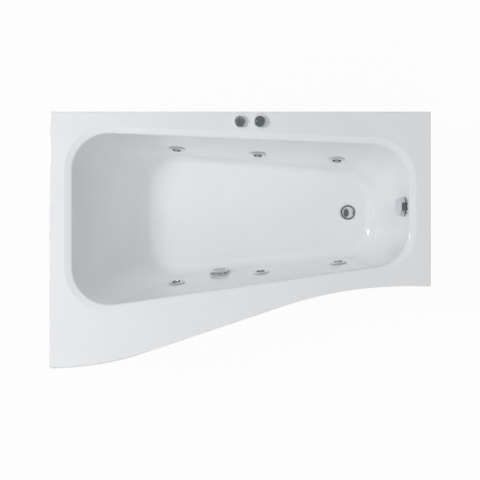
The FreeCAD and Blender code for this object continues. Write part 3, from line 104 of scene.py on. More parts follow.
# Finishes: scales are features per metre, roughness is a (low, high) pair
noise_low = 0.3
noise_high = 0.7
coat_rough = 0.05
tint_scale, tint_detail = 9, 5
rough_scale, rough_detail = 40, 3
grain_detail = 2
grain_depth = 0.0004
gloss_coat = 0.25
gloss_scale, gloss_detail = 4, 3
gloss_dark = (0.885, 0.896, 0.910)
gloss_light = (0.912, 0.920, 0.930)
gloss_rough_scale, gloss_rough_detail = 25, 3
gloss_rough = (0.10, 0.16)
fibre_scale, fibre_detail = 90, 6
fibre_stretch = (1, 0.35, 1)
fibre_tones = [(0.35, (0.50, 0.47, 0.40)), (0.65, (0.72, 0.70, 0.63))]
fibre_rough = (0.5, 0.8)
fibre_depth = 0.002
fibre_strength = 0.5
underside_start = -0.03
underside_full = -0.07
spangle_metallic = 0.85
spangle_vary = 0.16
spangle_scale = 120
spangle_low, spangle_high = 0.1, 0.9
spangle_rough = (0.34, 0.5)
spangle_grain, spangle_detail = 300, 3
spangle_depth = 0.0002
spangle_strength = 0.15
board_vary = 0.25
board_low, board_middle, board_high = 0.05, 0.5, 0.95
board_rough_scale, board_detail = 60, 4
board_rough = (0.6, 0.85)
board_grain_factor = 2
board_depth = 0.0006
board_strength = 0.4

# Meshes
fold_angle = math.radians(35)
ring_angle = math.radians(50)
merge_distance = 1e-6
ring_least_points = 8
ring_roundness = 1.02
level_tolerance = 1e-5
end_tolerance = 1e-4
widest_share = 0.97

# Levelling feet
foot_count = 5
pad_sides = 48
pad_foot = ((0.90, 0), (0.97, 0.0008), (1, 0.0022))
pad_top_share = 0.55
pad_rim = ((1, 0.42), (0.97, 0.52))
pad_hub_flare = 1.25
pad_hub_start = 0.92
hub_chamfer = 0.0012
hub_least_factor = 1.5
thread_pitch = 0.00175
thread_depth = 0.0006
thread_sides = 24
thread_steps = 4

# Hose clips
clip_width = 0.010
clip_thickness = 0.0009
clip_set_back = 0.004
clip_gap = 0.0001
clip_sides = 64
clip_up = Vector((0.35, -0.55, 0.75))
clip_housing_half = 0.007
clip_housing_flare = 0.55
clip_housing_sink = 0.001
clip_housing_height = 0.006
clip_housing_bevel = 0.001
clip_screw = [(0.0034, 0), (0.0038, 0.001), (0.0038, 0.004), (0.0030, 0.005)]
clip_screw_rise = 0.0026
clip_screw_start = 0.0065
clip_screw_sides = 16
bevel_steps = 2

# Pump
bolt_head_radius = 0.0055
bolt_head_height = 0.004
bolt_chamfer_start = 0.85
bolt_chamfer_share = 0.86
bolt_head_sides = 6
washer_factor = 1.35
washer_thickness = 0.0008
washer_top = 0.0009
washer_sides = 24
volute_bolt_count = 8
volute_bolt_inset = 0.008
cowl_hub_radius = 0.014
cowl_hub_top = 0.011
cowl_hub_rise = 1.4
cowl_hub_sides = 40
cowl_rib_count = 28
cowl_rib_width = 0.0016
cowl_rib_height = 0.0022
cowl_rib_start = 0.018
cowl_band_share = 0.93
cowl_band_thickness = 0.002
cowl_band_sides = 96
lid_proportion = 9 / 7
lid_thickness = 0.0022
lid_overhang = 0.0012
lid_bevel = 0.0008
lid_screw_inset = 0.009
lid_screw_radius = 0.0032
lid_screw_edge = 0.0008
lid_screw_height = 0.0016
lid_screw_top_share = 0.6
lid_screw_sides = 20

# Jets and suction cover: black pieces that paint shade into each jet's dish and bore, and behind the suction
# cover's slots
jet_count = 6
shade_collar_rise = 0.0085
shade_collar_height = 0.0042
shade_collar_edge_share = 0.2
shade_collar_inner = 0.0129
shade_collar_top = 0.0144
shade_collar_outer = 0.0176
shade_collar_sides = 64
bore_shade_radius = 0.0042
bore_shade_wall = 0.0007
bore_shade_length = 0.0180
bore_shade_sides = 32
grille_inside_low = 0.6
grille_inside_high = 0.7
grille_shade_gap = 0.0006
grille_shade_wall = 0.0012
grille_shade_share = 0.98
grille_shade_sides = 96

# Pale fill in the regulator knob's recess, and the button's bellows
recess_clearance = 0.00005
recess_dome = 0.0002
recess_top_share = 0.8
recess_sides = 32
bellows_pleats = 4
bellows_steps = 12
bellows_neck_share = 0.727
bellows_wall_share = 0.136
bellows_sides = 48

# Welds: (rail, axis it runs along)
welded_rails = [
    ("frame_back_rail", 0),
    ("frame_front_rail", 0),
    ("frame_pump_rail", 0),
    ("frame_cross_head", 1),
    ("frame_cross_foot", 1),
]
post_count = 4
weld_radius = 0.0018
weld_lift = 0.3
weld_ripple = 1.2
weld_least_ripples = 4
weld_dip = 0.82
weld_sides = 10


def node(tree, kind, inputs=None, **settings):
    """Adds a shader node, with its settings and the values of its unlinked inputs."""
    made = tree.nodes.new(kind)
    for key, value in settings.items():
        setattr(made, key, value)
    for key, value in (inputs or {}).items():
        made.inputs[key].default_value = value
    return made


def new_material(name, metallic=0.0, coat=0.0):
    """A material with its tree and its Principled shader."""
    material = bpy.data.materials.new(name)
    material.use_nodes = True
    tree = material.node_tree
    shader = tree.nodes["Principled BSDF"]
    shader.inputs["Metallic"].default_value = metallic
    shader.inputs["Coat Weight"].default_value = coat
    shader.inputs["Coat Roughness"].default_value = coat_rough
    return material, tree, shader


def texture(tree, kind, inputs, stretch):
    """A texture node in the solids' own coordinates."""
    place = node(tree, "ShaderNodeTexCoord")
    mapping = node(tree, "ShaderNodeMapping", {"Scale": stretch})
    made = node(tree, kind, inputs)
    tree.links.new(place.outputs["Object"], mapping.inputs["Vector"])
    tree.links.new(mapping.outputs["Vector"], made.inputs["Vector"])
    return made


def noise(tree, scale, detail, stretch=even):
    """Cloudy noise."""
    inputs = {"Scale": scale, "Detail": detail}
    return texture(tree, "ShaderNodeTexNoise", inputs, stretch).outputs["Fac"]


def cells(tree, scale, stretch=even):
    """Flat cells, each with a brightness of its own."""
    made = texture(tree, "ShaderNodeTexVoronoi", {"Scale": scale}, stretch)
    split = node(tree, "ShaderNodeSeparateColor")
    tree.links.new(made.outputs["Color"], split.inputs["Color"])
    return split.outputs["Red"]


def ramp(tree, factor, stops):
    """Colours along a factor, as (place, colour) pairs."""
    made = node(tree, "ShaderNodeValToRGB")
    elements = made.color_ramp.elements
    while len(elements) < len(stops):
        elements.new(0.5)
    for element, (place, colour) in zip(elements, stops):
        element.position = place
        element.color = (*colour, 1)
    tree.links.new(factor, made.inputs["Fac"])
    return made.outputs["Color"]


def remap(tree, value, low, high, to_low=0.0, to_high=1.0):
    """A value between low and high, moved to another range."""
    inputs = {"From Min": low, "From Max": high, "To Min": to_low, "To Max": to_high}
    made = node(tree, "ShaderNodeMapRange", inputs)
    tree.links.new(value, made.inputs["Value"])
    return made.outputs["Result"]


def spread(tree, factor, limits):
    """Noise as a value between two limits."""
    return remap(tree, factor, noise_low, noise_high, *limits)


def calculate(tree, operation, first, second):
    """A Math node on a socket and a second socket or number."""
    made = node(tree, "ShaderNodeMath", operation=operation)
    tree.links.new(first, made.inputs[0])
    if isinstance(second, (int, float)):
        made.inputs[1].default_value = second
    else:
        tree.links.new(second, made.inputs[1])
    return made.outputs["Value"]


def mix(tree, kind, factor, first, second):
    """Goes from a socket to a second socket or colour."""
    made = node(tree, "ShaderNodeMix", data_type=kind)
    tree.links.new(factor, made.inputs["Factor"])
    tree.links.new(first, made.inputs["A"])
    if isinstance(second, tuple):
        made.inputs["B"].default_value = (*second, 1)
    else:
        tree.links.new(second, made.inputs["B"])
    return made.outputs["Result"]


def add_bump(tree, shader, height, distance, strength):
    """Surface grain from a height."""
    made = node(tree, "ShaderNodeBump", {"Distance": distance, "Strength": strength})
    tree.links.new(height, made.inputs["Height"])
    tree.links.new(made.outputs["Normal"], shader.inputs["Normal"])


def shades(colour, amount):
    """A darker and a lighter shade of a colour."""
    return [tuple(min(1, part * (1 + side * amount)) for part in colour) for side in (-1, 1)]


def plain_finish(name, colour, rough, grain,
                 metallic=0.0, coat=0.0, vary=0.05, bump=0.1, stretch=even):
    """Colour that varies a little, with its own roughness pattern and surface grain."""
    material, tree, shader = new_material(name, metallic, coat)
    dark, light = shades(colour, vary)
    blotches = noise(tree, tint_scale, tint_detail, stretch)
    tint = ramp(tree, blotches, [(noise_low, dark), (noise_high, light)])
    tree.links.new(tint, shader.inputs["Base Color"])
    wear = spread(tree, noise(tree, rough_scale, rough_detail, stretch), rough)
    tree.links.new(wear, shader.inputs["Roughness"])
    add_bump(tree, shader, noise(tree, grain, grain_detail, stretch), grain_depth, bump)
    return material


def acrylic_finish(name):
    """Glossy white acrylic, with bare glass-fibre backing where a face looks down."""
    material, tree, shader = new_material(name, coat=gloss_coat)
    clouds = noise(tree, gloss_scale, gloss_detail)
    gloss = ramp(tree, clouds, [(noise_low, gloss_dark), (noise_high, gloss_light)])
    fibre = noise(tree, fibre_scale, fibre_detail, fibre_stretch)
    backing = ramp(tree, fibre, fibre_tones)
    facing = node(tree, "ShaderNodeNewGeometry")
    split = node(tree, "ShaderNodeSeparateXYZ")
    tree.links.new(facing.outputs["Normal"], split.inputs["Vector"])
    under = remap(tree, split.outputs["Z"], underside_start, underside_full)
    tree.links.new(mix(tree, "RGBA", under, gloss, backing), shader.inputs["Base Color"])
    smooth = spread(tree, noise(tree, gloss_rough_scale, gloss_rough_detail), gloss_rough)
    coarse = spread(tree, fibre, fibre_rough)
    tree.links.new(mix(tree, "FLOAT", under, smooth, coarse), shader.inputs["Roughness"])
    height = calculate(tree, "MULTIPLY", fibre, under)
    add_bump(tree, shader, height, fibre_depth, fibre_strength)
    return material


def galvanised_finish(name, colour):
    """Zinc spangle: flat cells of slightly different grey."""
    material, tree, shader = new_material(name, metallic=spangle_metallic)
    dark, light = shades(colour, spangle_vary)
    spangle = cells(tree, spangle_scale)
    tint = ramp(tree, spangle, [(spangle_low, dark), (spangle_high, light)])
    tree.links.new(tint, shader.inputs["Base Color"])
    tree.links.new(spread(tree, spangle, spangle_rough), shader.inputs["Roughness"])
    grain = noise(tree, spangle_grain, spangle_detail)
    add_bump(tree, shader, grain, spangle_depth, spangle_strength)
    return material


def board_finish(name, colour, flake, stretch):
    """Wood flakes or veneer bands with a dry surface."""
    material, tree, shader = new_material(name)
    dark, light = shades(colour, board_vary)
    stops = [(board_low, dark), (board_middle, colour), (board_high, light)]
    tint = ramp(tree, cells(tree, flake, stretch), stops)
    tree.links.new(tint, shader.inputs["Base Color"])
    dry = spread(tree, noise(tree, board_rough_scale, board_detail, stretch), board_rough)
    tree.links.new(dry, shader.inputs["Roughness"])
    grain = noise(tree, flake * board_grain_factor, board_detail, stretch)
    add_bump(tree, shader, grain, board_depth, board_strength)
    return material


def slot_materials():
    """One finish for each material slot of the record."""
    return {
        "acrylic": acrylic_finish("acrylic"),
        "panel": acrylic_finish("panel_acrylic"),
        "board": board_finish("chipboard", (0.56, 0.44, 0.29), 220, even),
        "shelf_ply": board_finish("plywood", (0.60, 0.43, 0.25), 35, (0.25, 1.6, 12)),
        "packer_rubber": plain_finish(
            "packer_rubber", (0.03, 0.03, 0.032), (0.7, 0.9), 400, bump=0.3),
        "gasket": plain_finish(
            "gasket_rubber", (0.035, 0.036, 0.038), (0.6, 0.8), 500, bump=0.2),
        "frame_steel": galvanised_finish("galvanised_tube", (0.50, 0.51, 0.52)),
        "zinc": plain_finish(
            "zinc_plate", (0.62, 0.62, 0.60), (0.25, 0.38), 900, metallic=1.0, vary=0.08, bump=0.12),
        "steel": plain_finish(
            "ground_steel", (0.56, 0.57, 0.58), (0.2, 0.32), 700, metallic=1.0, bump=0.15,
            stretch=(4, 1, 1)),
        "motor_paint": plain_finish(
            "motor_paint", (0.085, 0.10, 0.115), (0.38, 0.5), 350, coat=0.1, bump=0.25),
        "pump_plastic": plain_finish(
            "pump_plastic", (0.022, 0.023, 0.025), (0.42, 0.55), 600, bump=0.2),
        "fitting_plastic": plain_finish(
            "fitting_plastic", (0.68, 0.69, 0.68), (0.35, 0.48), 500, bump=0.1),
        "pipe": plain_finish("grey_pipe", (0.42, 0.44, 0.45), (0.32, 0.45), 300, bump=0.12),
        "hose": plain_finish("flexible_tube", (0.16, 0.18, 0.19), (0.4, 0.55), 400, bump=0.2),
        "chrome": plain_finish(
            "chrome", (0.74, 0.76, 0.78), (0.05, 0.10), 250, metallic=1.0, vary=0.03, bump=0.02),
        "button_face": plain_finish(
            "satin_chrome", (0.60, 0.64, 0.66), (0.12, 0.24), 500, metallic=1.0, vary=0.1, bump=0.1),
    }


def dress_frame():
    """Gives every solid the finish of its material slot."""
    for entry in frame["record"]["subparts"]:
        piece = nodes[entry["node"]]
        piece.data.materials.clear()
        piece.data.materials.append(materials[entry["material_slot"]])


def piece_from(name, mesh, slot, body):
    """A finished piece from a bmesh, riding on a body with one slot's finish."""
    data = bpy.data.meshes.new(name)
    bmesh.ops.recalc_face_normals(mesh, faces=mesh.faces)
    mesh.to_mesh(data)
    mesh.free()
    data.materials.append(materials[slot])
    data.shade_smooth()
    data.set_sharp_from_angle(angle=fold_angle)
    made = bpy.data.objects.new(name, data)
    bpy.context.scene.collection.objects.link(made)
    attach(made, body)
    return made


def around(side, sides):
    """The direction of one of a circle's sides."""
    angle = 2 * math.pi * side / sides
    return Vector((math.cos(angle), math.sin(angle), 0))


def close_skin(mesh, rows):
    """Joins rows of points, each a closed ring, into a skin with both ends shut."""
    for low, high in zip(rows, rows[1:]):
        for side in range(len(low)):
            after = (side + 1) % len(low)
            mesh.faces.new((low[side], low[after], high[after], high[side]))
    mesh.faces.new(reversed(rows[0]))
    mesh.faces.new(rows[-1])


def lathe(mesh, profile, place, axis, sides):
    """Turns (radius, height) points round an axis into a closed skin."""
    turn = upward.rotation_difference(axis).to_matrix()
    rows = []
    for radius, height in profile:
        points = [around(side, sides) * radius + upward * height for side in range(sides)]
        rows.append([mesh.verts.new(place + turn @ point) for point in points])
    close_skin(mesh, rows)


def hoop(mesh, corners, place, axis, sides):
    """A closed ring from the (radius, height) corners of its section."""
    turn = upward.rotation_difference(axis).to_matrix()
    rows = []
    for side in range(sides):
        out = around(side, sides)
        points = [out * radius + upward * height for radius, height in corners]
        rows.append([mesh.verts.new(place + turn @ point) for point in points])
    for side in range(sides):
        row, after = rows[side], rows[(side + 1) % sides]
        for index in range(len(corners)):
            other = (index + 1) % len(corners)
            mesh.faces.new((row[index], row[other], after[other], after[index]))


def band(mesh, radius, thickness, width, place, axis, sides):
    """A closed ring of rectangular section, centred on a place."""
    corners = [
        (radius, -width / 2),
        (radius + thickness, -width / 2),
        (radius + thickness, width / 2),
        (radius, width / 2),
    ]
    hoop(mesh, corners, place, axis, sides)


def brick(mesh, low, high, turn=Matrix.Identity(3), place=Vector()):
    """A box between two corners, turned and then moved to a place."""
    made = bmesh.ops.create_cube(mesh, size=1)["verts"]
    for vert in made:
        point = Vector([a + (b - a) * (c + 0.5) for a, b, c in zip(low, high, vert.co)])
        vert.co = turn @ point + place
    return made


def linked_points(beside):
    """Groups of points that are joined to each other, from each point's neighbours."""
    seen = set()
    for start in beside:
        if start in seen:
            continue
        group, queue = [], [start]
        seen.add(start)
        while queue:
            point = queue.pop()
            group.append(point)
            for other in beside[point]:
                if other not in seen:
                    seen.add(other)
                    queue.append(other)
        yield group


def sharp_rings(name):
    """Centre, axis and radius of each round sharp edge of a solid."""
    mesh = bmesh.new()
    mesh.from_mesh(nodes[name].data)
    bmesh.ops.remove_doubles(mesh, verts=mesh.verts, dist=merge_distance)
    beside = {}
    for edge in mesh.edges:
        if edge.is_manifold and edge.calc_face_angle() > ring_angle:
            for vert, other in (edge.verts, reversed(edge.verts)):
                beside.setdefault(vert, []).append(other)
    rings = []
    for loop in linked_points(beside):
        centre = sum((vert.co for vert in loop), Vector()) / len(loop)
        reach = [(vert.co - centre).length for vert in loop]
        if len(loop) >= ring_least_points and max(reach) < ring_roundness * min(reach):
            for vert in loop:
                axis = (vert.co - centre).cross(beside[vert][0].co - centre)
                if axis.length > 0:
                    break
            rings.append((centre, axis.normalized(), sum(reach) / len(reach)))
    mesh.free()
    return rings


def threaded_foot(number):
    """A levelling foot: turned pad and hub, and a stud with its thread."""
    solid = "foot_%d" % number
    body = "levelling_foot_%d" % number
    low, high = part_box(solid)
    middle = Vector(((low.x + high.x) / 2, (low.y + high.y) / 2, low.z))
    pad_radius = (high.x - low.x) / 2
    rings = sorted(sharp_rings(solid), key=lambda ring: ring[0].z)
    stud_radius = rings[-1][2]
    shoulder = max(ring[0].z for ring in rings if ring[2] > hub_least_factor * stud_radius)
    hub_radius = max(ring[2] for ring in rings if abs(ring[0].z - shoulder) < level_tolerance)
    pad_top = shoulder * pad_top_share
    profile = [(pad_radius * share, height) for share, height in pad_foot]
    profile += [(pad_radius * share, pad_top * height) for share, height in pad_rim]
    profile += [
        (hub_radius * pad_hub_flare, pad_top * pad_hub_start),
        (hub_radius, pad_top),
        (hub_radius, shoulder - hub_chamfer),
        (hub_radius - hub_chamfer, shoulder),
    ]
    pad = bmesh.new()
    lathe(pad, profile, middle, upward, pad_sides)
    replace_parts(piece_from("foot_pad_%d" % number, pad, "pump_plastic", body), solid)

    stud = bmesh.new()
    count = int((high.z - shoulder) / thread_pitch * thread_steps)
    rows = []
    for step in range(count + 1):
        height = shoulder + (high.z - shoulder) * step / count
        row = []
        for side in range(thread_sides):
            phase = abs(((height / thread_pitch - side / thread_sides) % 1) - 0.5) * 2
            out = around(side, thread_sides) * (stud_radius - thread_depth * phase)
            row.append(stud.verts.new(middle + out + upward * height))
        rows.append(row)
    close_skin(stud, rows)
    piece_from("foot_stud_%d" % number, stud, "zinc", body)


def hose_clip(name, place, axis, radius):
    """A worm-drive clip: band, screw housing and screw head."""
    clip = bmesh.new()
    band(clip, radius + clip_gap, clip_thickness, clip_width, place, axis, clip_sides)
    out = (clip_up - axis * clip_up.dot(axis)).normalized()
    along = axis.cross(out)
    turn = Matrix((along, axis, out)).transposed()
    seat = place + out * (radius + clip_thickness)
    half_width = clip_width * clip_housing_flare
    low = (-clip_housing_half, -half_width, -clip_housing_sink)
    high = (clip_housing_half, half_width, clip_housing_height)
    housing = brick(clip, low, high, turn, seat)
    edges = list({edge for vert in housing for edge in vert.link_edges})
    bmesh.ops.bevel(
        clip, geom=edges, offset=clip_housing_bevel, segments=bevel_steps, affect="EDGES")
    screw_place = seat + out * clip_screw_rise + along * clip_screw_start
    lathe(clip, clip_screw, screw_place, along, clip_screw_sides)
    piece_from(name, clip, "zinc", "bath")


def clip_hoses():
    """A clip near each end of the hoses that push over spigots."""
    number = 0
    for name in ("suction_pipe", "overflow_pipe"):
        rings = sharp_rings(name)
        widest = max(ring[2] for ring in rings)
        points = [vert.co for vert in nodes[name].data.vertices]
        for centre, axis, radius in rings:
            if radius <= widest_share * widest:
                continue
            near = [point - centre for point in points if (point - centre).length < 2 * radius]
            ahead = sum(offset.dot(axis) for offset in near)
            inward = axis if ahead > 0 else -axis
            place = centre + inward * (clip_set_back + clip_width / 2)
            number += 1
            hose_clip("hose_clip_%d" % number, place, inward, radius)


def volute_bolts(axis_place):
    """Hexagon heads with washers round the volute's front face."""
    rings = sharp_rings("pump_volute")
    widest = max(ring[2] for ring in rings)
    front = max(ring[0].x for ring in rings if ring[2] > widest_share * widest)
    centre = Vector((front, axis_place.y, axis_place.z))
    arm = forward.orthogonal().normalized()
    washer = [
        (bolt_head_radius * washer_factor, 0),
        (bolt_head_radius * washer_factor, washer_thickness),
        (bolt_head_radius, washer_top),
    ]
    head = [
        (bolt_head_radius, washer_top),
        (bolt_head_radius, bolt_head_height * bolt_chamfer_start),
        (bolt_head_radius * bolt_chamfer_share, bolt_head_height),
    ]
    bolts = bmesh.new()
    for index in range(volute_bolt_count):
        turn = Matrix.Rotation(2 * math.pi * (index + 0.5) / volute_bolt_count, 3, forward)
        place = centre + turn @ arm * (widest - volute_bolt_inset)
        lathe(bolts, washer, place, forward, washer_sides)
        lathe(bolts, head, place, forward, bolt_head_sides)
    piece_from("volute_bolts", bolts, "zinc", "bath")


def motor_cowl(axis_place):
    """A ribbed cowl on the motor's end."""
    end_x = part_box("motor_housing")[0].x
    end = Vector((end_x, axis_place.y, axis_place.z))
    rings = sharp_rings("motor_housing")
    radius = max(ring[2] for ring in rings if abs(ring[0].x - end_x) < end_tolerance)
    rib_end = radius * cowl_band_share
    hub = [
        (cowl_hub_radius, 0),
        (cowl_hub_radius, cowl_rib_height),
        (cowl_hub_top, cowl_rib_height * cowl_hub_rise),
    ]
    cowl = bmesh.new()
    lathe(cowl, hub, end, -forward, cowl_hub_sides)
    low = (-cowl_rib_height, -cowl_rib_width / 2, cowl_rib_start)
    high = (0, cowl_rib_width / 2, rib_end)
    for index in range(cowl_rib_count):
        turn = Matrix.Rotation(2 * math.pi * index / cowl_rib_count, 3, forward)
        brick(cowl, low, high, turn, end)
    middle = end - forward * cowl_rib_height / 2
    band(cowl, rib_end, cowl_band_thickness, cowl_rib_height, middle, forward, cowl_band_sides)
    piece_from("motor_cowl", cowl, "motor_paint", "bath")


def terminal_lid():
    """The terminal box's lid and its four screws."""
    box_low, box_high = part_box("terminal_box")
    lid_low_x = box_high.x - (box_high.y - box_low.y) * lid_proportion
    low = (lid_low_x - lid_overhang, box_low.y - lid_overhang, box_high.z)
    high = (box_high.x + lid_overhang, box_high.y + lid_overhang, box_high.z + lid_thickness)
    lid = bmesh.new()
    brick(lid, low, high)
    bmesh.ops.bevel(
        lid, geom=list(lid.edges), offset=lid_bevel, segments=bevel_steps, affect="EDGES")
    piece_from("terminal_lid", lid, "pump_plastic", "bath")
    dome = [
        (lid_screw_radius, 0),
        (lid_screw_radius, lid_screw_edge),
        (lid_screw_radius * lid_screw_top_share, lid_screw_height),
    ]
    screws = bmesh.new()
    for x in (low[0] + lid_screw_inset, high[0] - lid_screw_inset):
        for y in (low[1] + lid_screw_inset, high[1] - lid_screw_inset):
            lathe(screws, dome, Vector((x, y, high[2])), upward, lid_screw_sides)
    piece_from("terminal_lid_screws", screws, "zinc", "bath")


def jet_painted_shade():
    """Painted shade: a black ring in each jet's dish round its ball, and a black tube in each nozzle's bore,
    darkening them as shade would.
    """
    shade_collars = bmesh.new()
    profile = [
        (shade_collar_inner, 0),
        (shade_collar_outer, 0),
        (shade_collar_outer, shade_collar_height * shade_collar_edge_share),
        (shade_collar_top, shade_collar_height),
        (shade_collar_inner, shade_collar_height),
    ]
    for number in range(1, jet_count + 1):
        centre = Vector(joints["nozzle_tilt_%d" % number]["pos_m"])
        mouth = max(sharp_rings("jet_ball_%d" % number), key=lambda ring: ring[2])
        out = (mouth[0] - centre).normalized()
        # Black ring that paints the shade in the dish round the ball
        hoop(shade_collars, profile, centre + out * shade_collar_rise, out, shade_collar_sides)
        # Black tube that paints the shade inside the nozzle's bore
        bore_shade = bmesh.new()
        band(bore_shade, bore_shade_radius, bore_shade_wall, bore_shade_length, centre, out, bore_shade_sides)
        piece_from("nozzle_liner_%d" % number, bore_shade, "gasket", "nozzle_%d" % number)
    piece_from("jet_shade_collars", shade_collars, "gasket", "bath")


def grille_painted_shade():
    """Painted shade: a black tube inside the suction cover, behind its side slots, darkening them as shade would.
    """
    rings = sharp_rings("suction_grille")
    face_centre, _, face_radius = max(rings, key=lambda ring: ring[2])
    least, most = grille_inside_low * face_radius, grille_inside_high * face_radius
    inside = [ring for ring in rings if least < ring[2] < most]
    base = min(inside, key=lambda ring: (ring[0] - face_centre).length)
    deep = max(inside, key=lambda ring: (ring[0] - base[0]).length)
    depth = (deep[0] - base[0]).length
    out = (deep[0] - base[0]).normalized()
    middle = base[0] + out * depth / 2
    radius = base[2] - grille_shade_gap - grille_shade_wall
    length = depth * grille_shade_share
    # Black tube that paints the shade seen through the side slots
    shade_sleeve = bmesh.new()
    band(shade_sleeve, radius, grille_shade_wall, length, middle, out, grille_shade_sides)
    piece_from("suction_shade_sleeve", shade_sleeve, "gasket", "bath")


def knob_recess_fill():
    """A pale filling in the small recess on the regulator knob's top, level with the knob's top."""
    rings = [ring for ring in sharp_rings("regulator_knob") if ring[0].z > deck_z]
    centre, _, radius = min(rings, key=lambda ring: ring[2])
    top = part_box("regulator_knob")[1].z
    fill = radius - recess_clearance
    low = centre.z - top + recess_clearance
    profile = [(fill, low), (fill, -recess_dome), (fill * recess_top_share, 0)]
    pale_fill = bmesh.new()
    lathe(pale_fill, profile, Vector((centre.x, centre.y, top)), upward, recess_sides)
    piece_from("regulator_recess_fill", pale_fill, "fitting_plastic", "air_regulator")


def rubber_bellows():
    """The button's rubber bellows: a pleated ring that stands in for the plain solid."""
    low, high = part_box("button_bellows")
    foot = Vector(((low.x + high.x) / 2, (low.y + high.y) / 2, low.z))
    height = high.z - low.z
    radius = (high.x - low.x) / 2
    depth = radius * (1 - bellows_neck_share)
    steps = bellows_pleats * bellows_steps
    outside = []
    for step in range(steps + 1):
        swell = (1 + math.cos(2 * math.pi * step / bellows_steps)) / 2
        outside.append((radius - depth * (1 - swell), height * step / steps))
    inside = [(r - radius * bellows_wall_share, z) for r, z in reversed(outside)]
    pleats = bmesh.new()
    hoop(pleats, outside + inside, foot, upward, bellows_sides)
    made = piece_from("rubber_bellows", pleats, "gasket", "bath")
    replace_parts(made, "button_bellows")
    travel = max(joints["button_press"]["range_m"])
    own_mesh(made)


def bead_loop(mesh, corners):
    """A rippled bead along a closed loop of corners."""
    for start, end in zip(corners, corners[1:] + corners[:1]):
        length = (end - start).length
        ripples = max(weld_least_ripples, int(length / (weld_radius * weld_ripple)))
        profile = []
        for step in range(2 * ripples + 1):
            swell = 1 if step % 2 else weld_dip
            profile.append((weld_radius * swell, length * step / (2 * ripples)))
        lathe(mesh, profile, start, (end - start).normalized(), weld_sides)


def weld_beads():
    """A bead of weld round each end of the frame's rails and round the foot of each post."""
    beads = bmesh.new()
    lift = weld_radius * weld_lift
    for name, along in welded_rails:
        low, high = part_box(name)
        across = 1 - along
        for end in (low[along] + lift, high[along] - lift):
            corners = []
            for side, top in ((low, low), (high, low), (high, high), (low, high)):
                point = Vector((0, 0, top.z))
                point[along] = end
                point[across] = side[across]
                corners.append(point)
            bead_loop(beads, corners)
    base_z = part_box("frame_posts")[0].z
    tube_low, tube_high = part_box("frame_back_rail")
    half = (tube_high.z - tube_low.z) / 2
    for number in range(1, post_count + 1):
        foot_low, foot_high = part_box("foot_%d" % number)
        middle = (foot_low + foot_high) / 2
        middle.z = base_z + lift
        bead_loop(beads, [middle + Vector((x * half, y * half, 0)) for x, y in square])
    piece_from("weld_beads", beads, "frame_steel", "bath")


def seen_directly(tree):
    """One for rays from the camera, off a mirror or through glass, and nought for the others."""
    path = node(tree, "ShaderNodeLightPath").outputs
    seen = calculate(tree, "MAXIMUM", path["Is Camera Ray"], path["Is Glossy Ray"])
    return calculate(tree, "MAXIMUM", seen, path["Is Transmission Ray"])


def studio_floor():
    """A white floor that keeps the object's shadow."""
    data = bpy.data.meshes.new("studio_floor")
    corners = [(x * floor_half, y * floor_half, 0) for x, y in square]
    data.from_pydata(corners, [], [(0, 1, 2, 3)])
    material = bpy.data.materials.new("studio_floor")
    material.use_nodes = True
    tree = material.node_tree
    tree.nodes.clear()
    matt = node(tree, "ShaderNodeBsdfDiffuse", {"Color": (*floor_colour, 1)})
    glow = node(tree, "ShaderNodeEmission", {"Color": (*white, 1), "Strength": 1.0})
    share = calculate(tree, "MULTIPLY", seen_directly(tree), floor_white_share)
    blend = node(tree, "ShaderNodeMixShader")
    out = node(tree, "ShaderNodeOutputMaterial")
    tree.links.new(share, blend.inputs["Fac"])
    tree.links.new(matt.outputs["BSDF"], blend.inputs[1])
    tree.links.new(glow.outputs["Emission"], blend.inputs[2])
    tree.links.new(blend.outputs["Shader"], out.inputs["Surface"])
    data.materials.append(material)
    floor = bpy.data.objects.new("studio_floor", data)
    bpy.context.scene.collection.objects.link(floor)


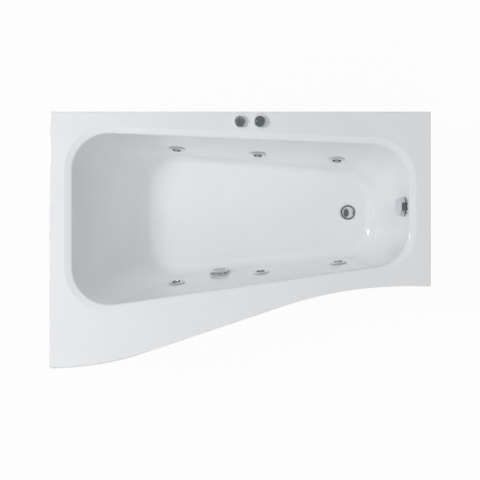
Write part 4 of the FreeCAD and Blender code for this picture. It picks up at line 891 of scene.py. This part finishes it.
def studio_world():
    """A pale room with a bright ceiling, a grey patch straight overhead and a white skyline."""
    world = bpy.data.worlds.new("studio")
    bpy.context.scene.world = world
    world.use_nodes = True
    tree = world.node_tree
    place = node(tree, "ShaderNodeTexCoord")
    split = node(tree, "ShaderNodeSeparateXYZ")
    tree.links.new(place.outputs["Generated"], split.inputs["Vector"])
    squared = []
    for part, reach in (("X", patch_across), ("Y", patch_along)):
        share = calculate(tree, "DIVIDE", split.outputs[part], reach)
        squared.append(calculate(tree, "POWER", share, 2.0))
    total = calculate(tree, "ADD", *squared)
    patch = remap(tree, total, patch_inner, patch_outer, 1.0, 0.0)
    height = split.outputs["Z"]
    room = mix(tree, "RGBA", patch, ramp(tree, height, room_levels), patch_colour)
    skyline = remap(tree, height, skyline_low, skyline_high, 1.0, 0.0)
    share = calculate(tree, "MULTIPLY", seen_directly(tree), skyline)
    background = tree.nodes["Background"]
    background.inputs["Strength"].default_value = 1.0
    tree.links.new(mix(tree, "RGBA", share, room, white), background.inputs["Color"])


def area_lamp(name, place, width, length, power, mirrored):
    """A flat lamp aimed at the bath: a mirrored one only glints, the others only light."""
    lamp = bpy.data.lights.new(name, "AREA")
    lamp.shape = "RECTANGLE"
    lamp.size = width
    lamp.size_y = length
    lamp.energy = power
    made = bpy.data.objects.new(name, lamp)
    made.location = place
    made.rotation_euler = (aim_place - place).to_track_quat("-Z", "Y").to_euler()
    made.visible_camera = False
    made.visible_glossy = mirrored
    made.visible_diffuse = not mirrored
    bpy.context.scene.collection.objects.link(made)


def studio_camera():
    """Straight above the middle of the bath, as in the photograph."""
    data = bpy.data.cameras.new("camera")
    data.sensor_width = sensor_width
    data.lens = sensor_width * camera_rise / view_width
    camera = bpy.data.objects.new("camera", data)
    camera.location = (0, 0, deck_z + camera_rise)
    bpy.context.scene.collection.objects.link(camera)
    bpy.context.scene.camera = camera


materials = slot_materials()
rotor_place = Vector(joints["rotor_spin"]["pos_m"])
dress_frame()
for foot_number in range(1, foot_count + 1):
    threaded_foot(foot_number)
clip_hoses()
volute_bolts(rotor_place)
motor_cowl(rotor_place)
terminal_lid()
jet_painted_shade()
grille_painted_shade()
knob_recess_fill()
rubber_bellows()
weld_beads()
studio_floor()
studio_world()
area_lamp("key", key_place, key_size, key_size, key_power, False)
area_lamp("fill", fill_place, fill_size, fill_size, fill_power, False)
area_lamp("spark", spark_place, spark_width, spark_length, spark_power, True)
studio_camera()
bpy.context.scene.view_settings.view_transform = "Standard"
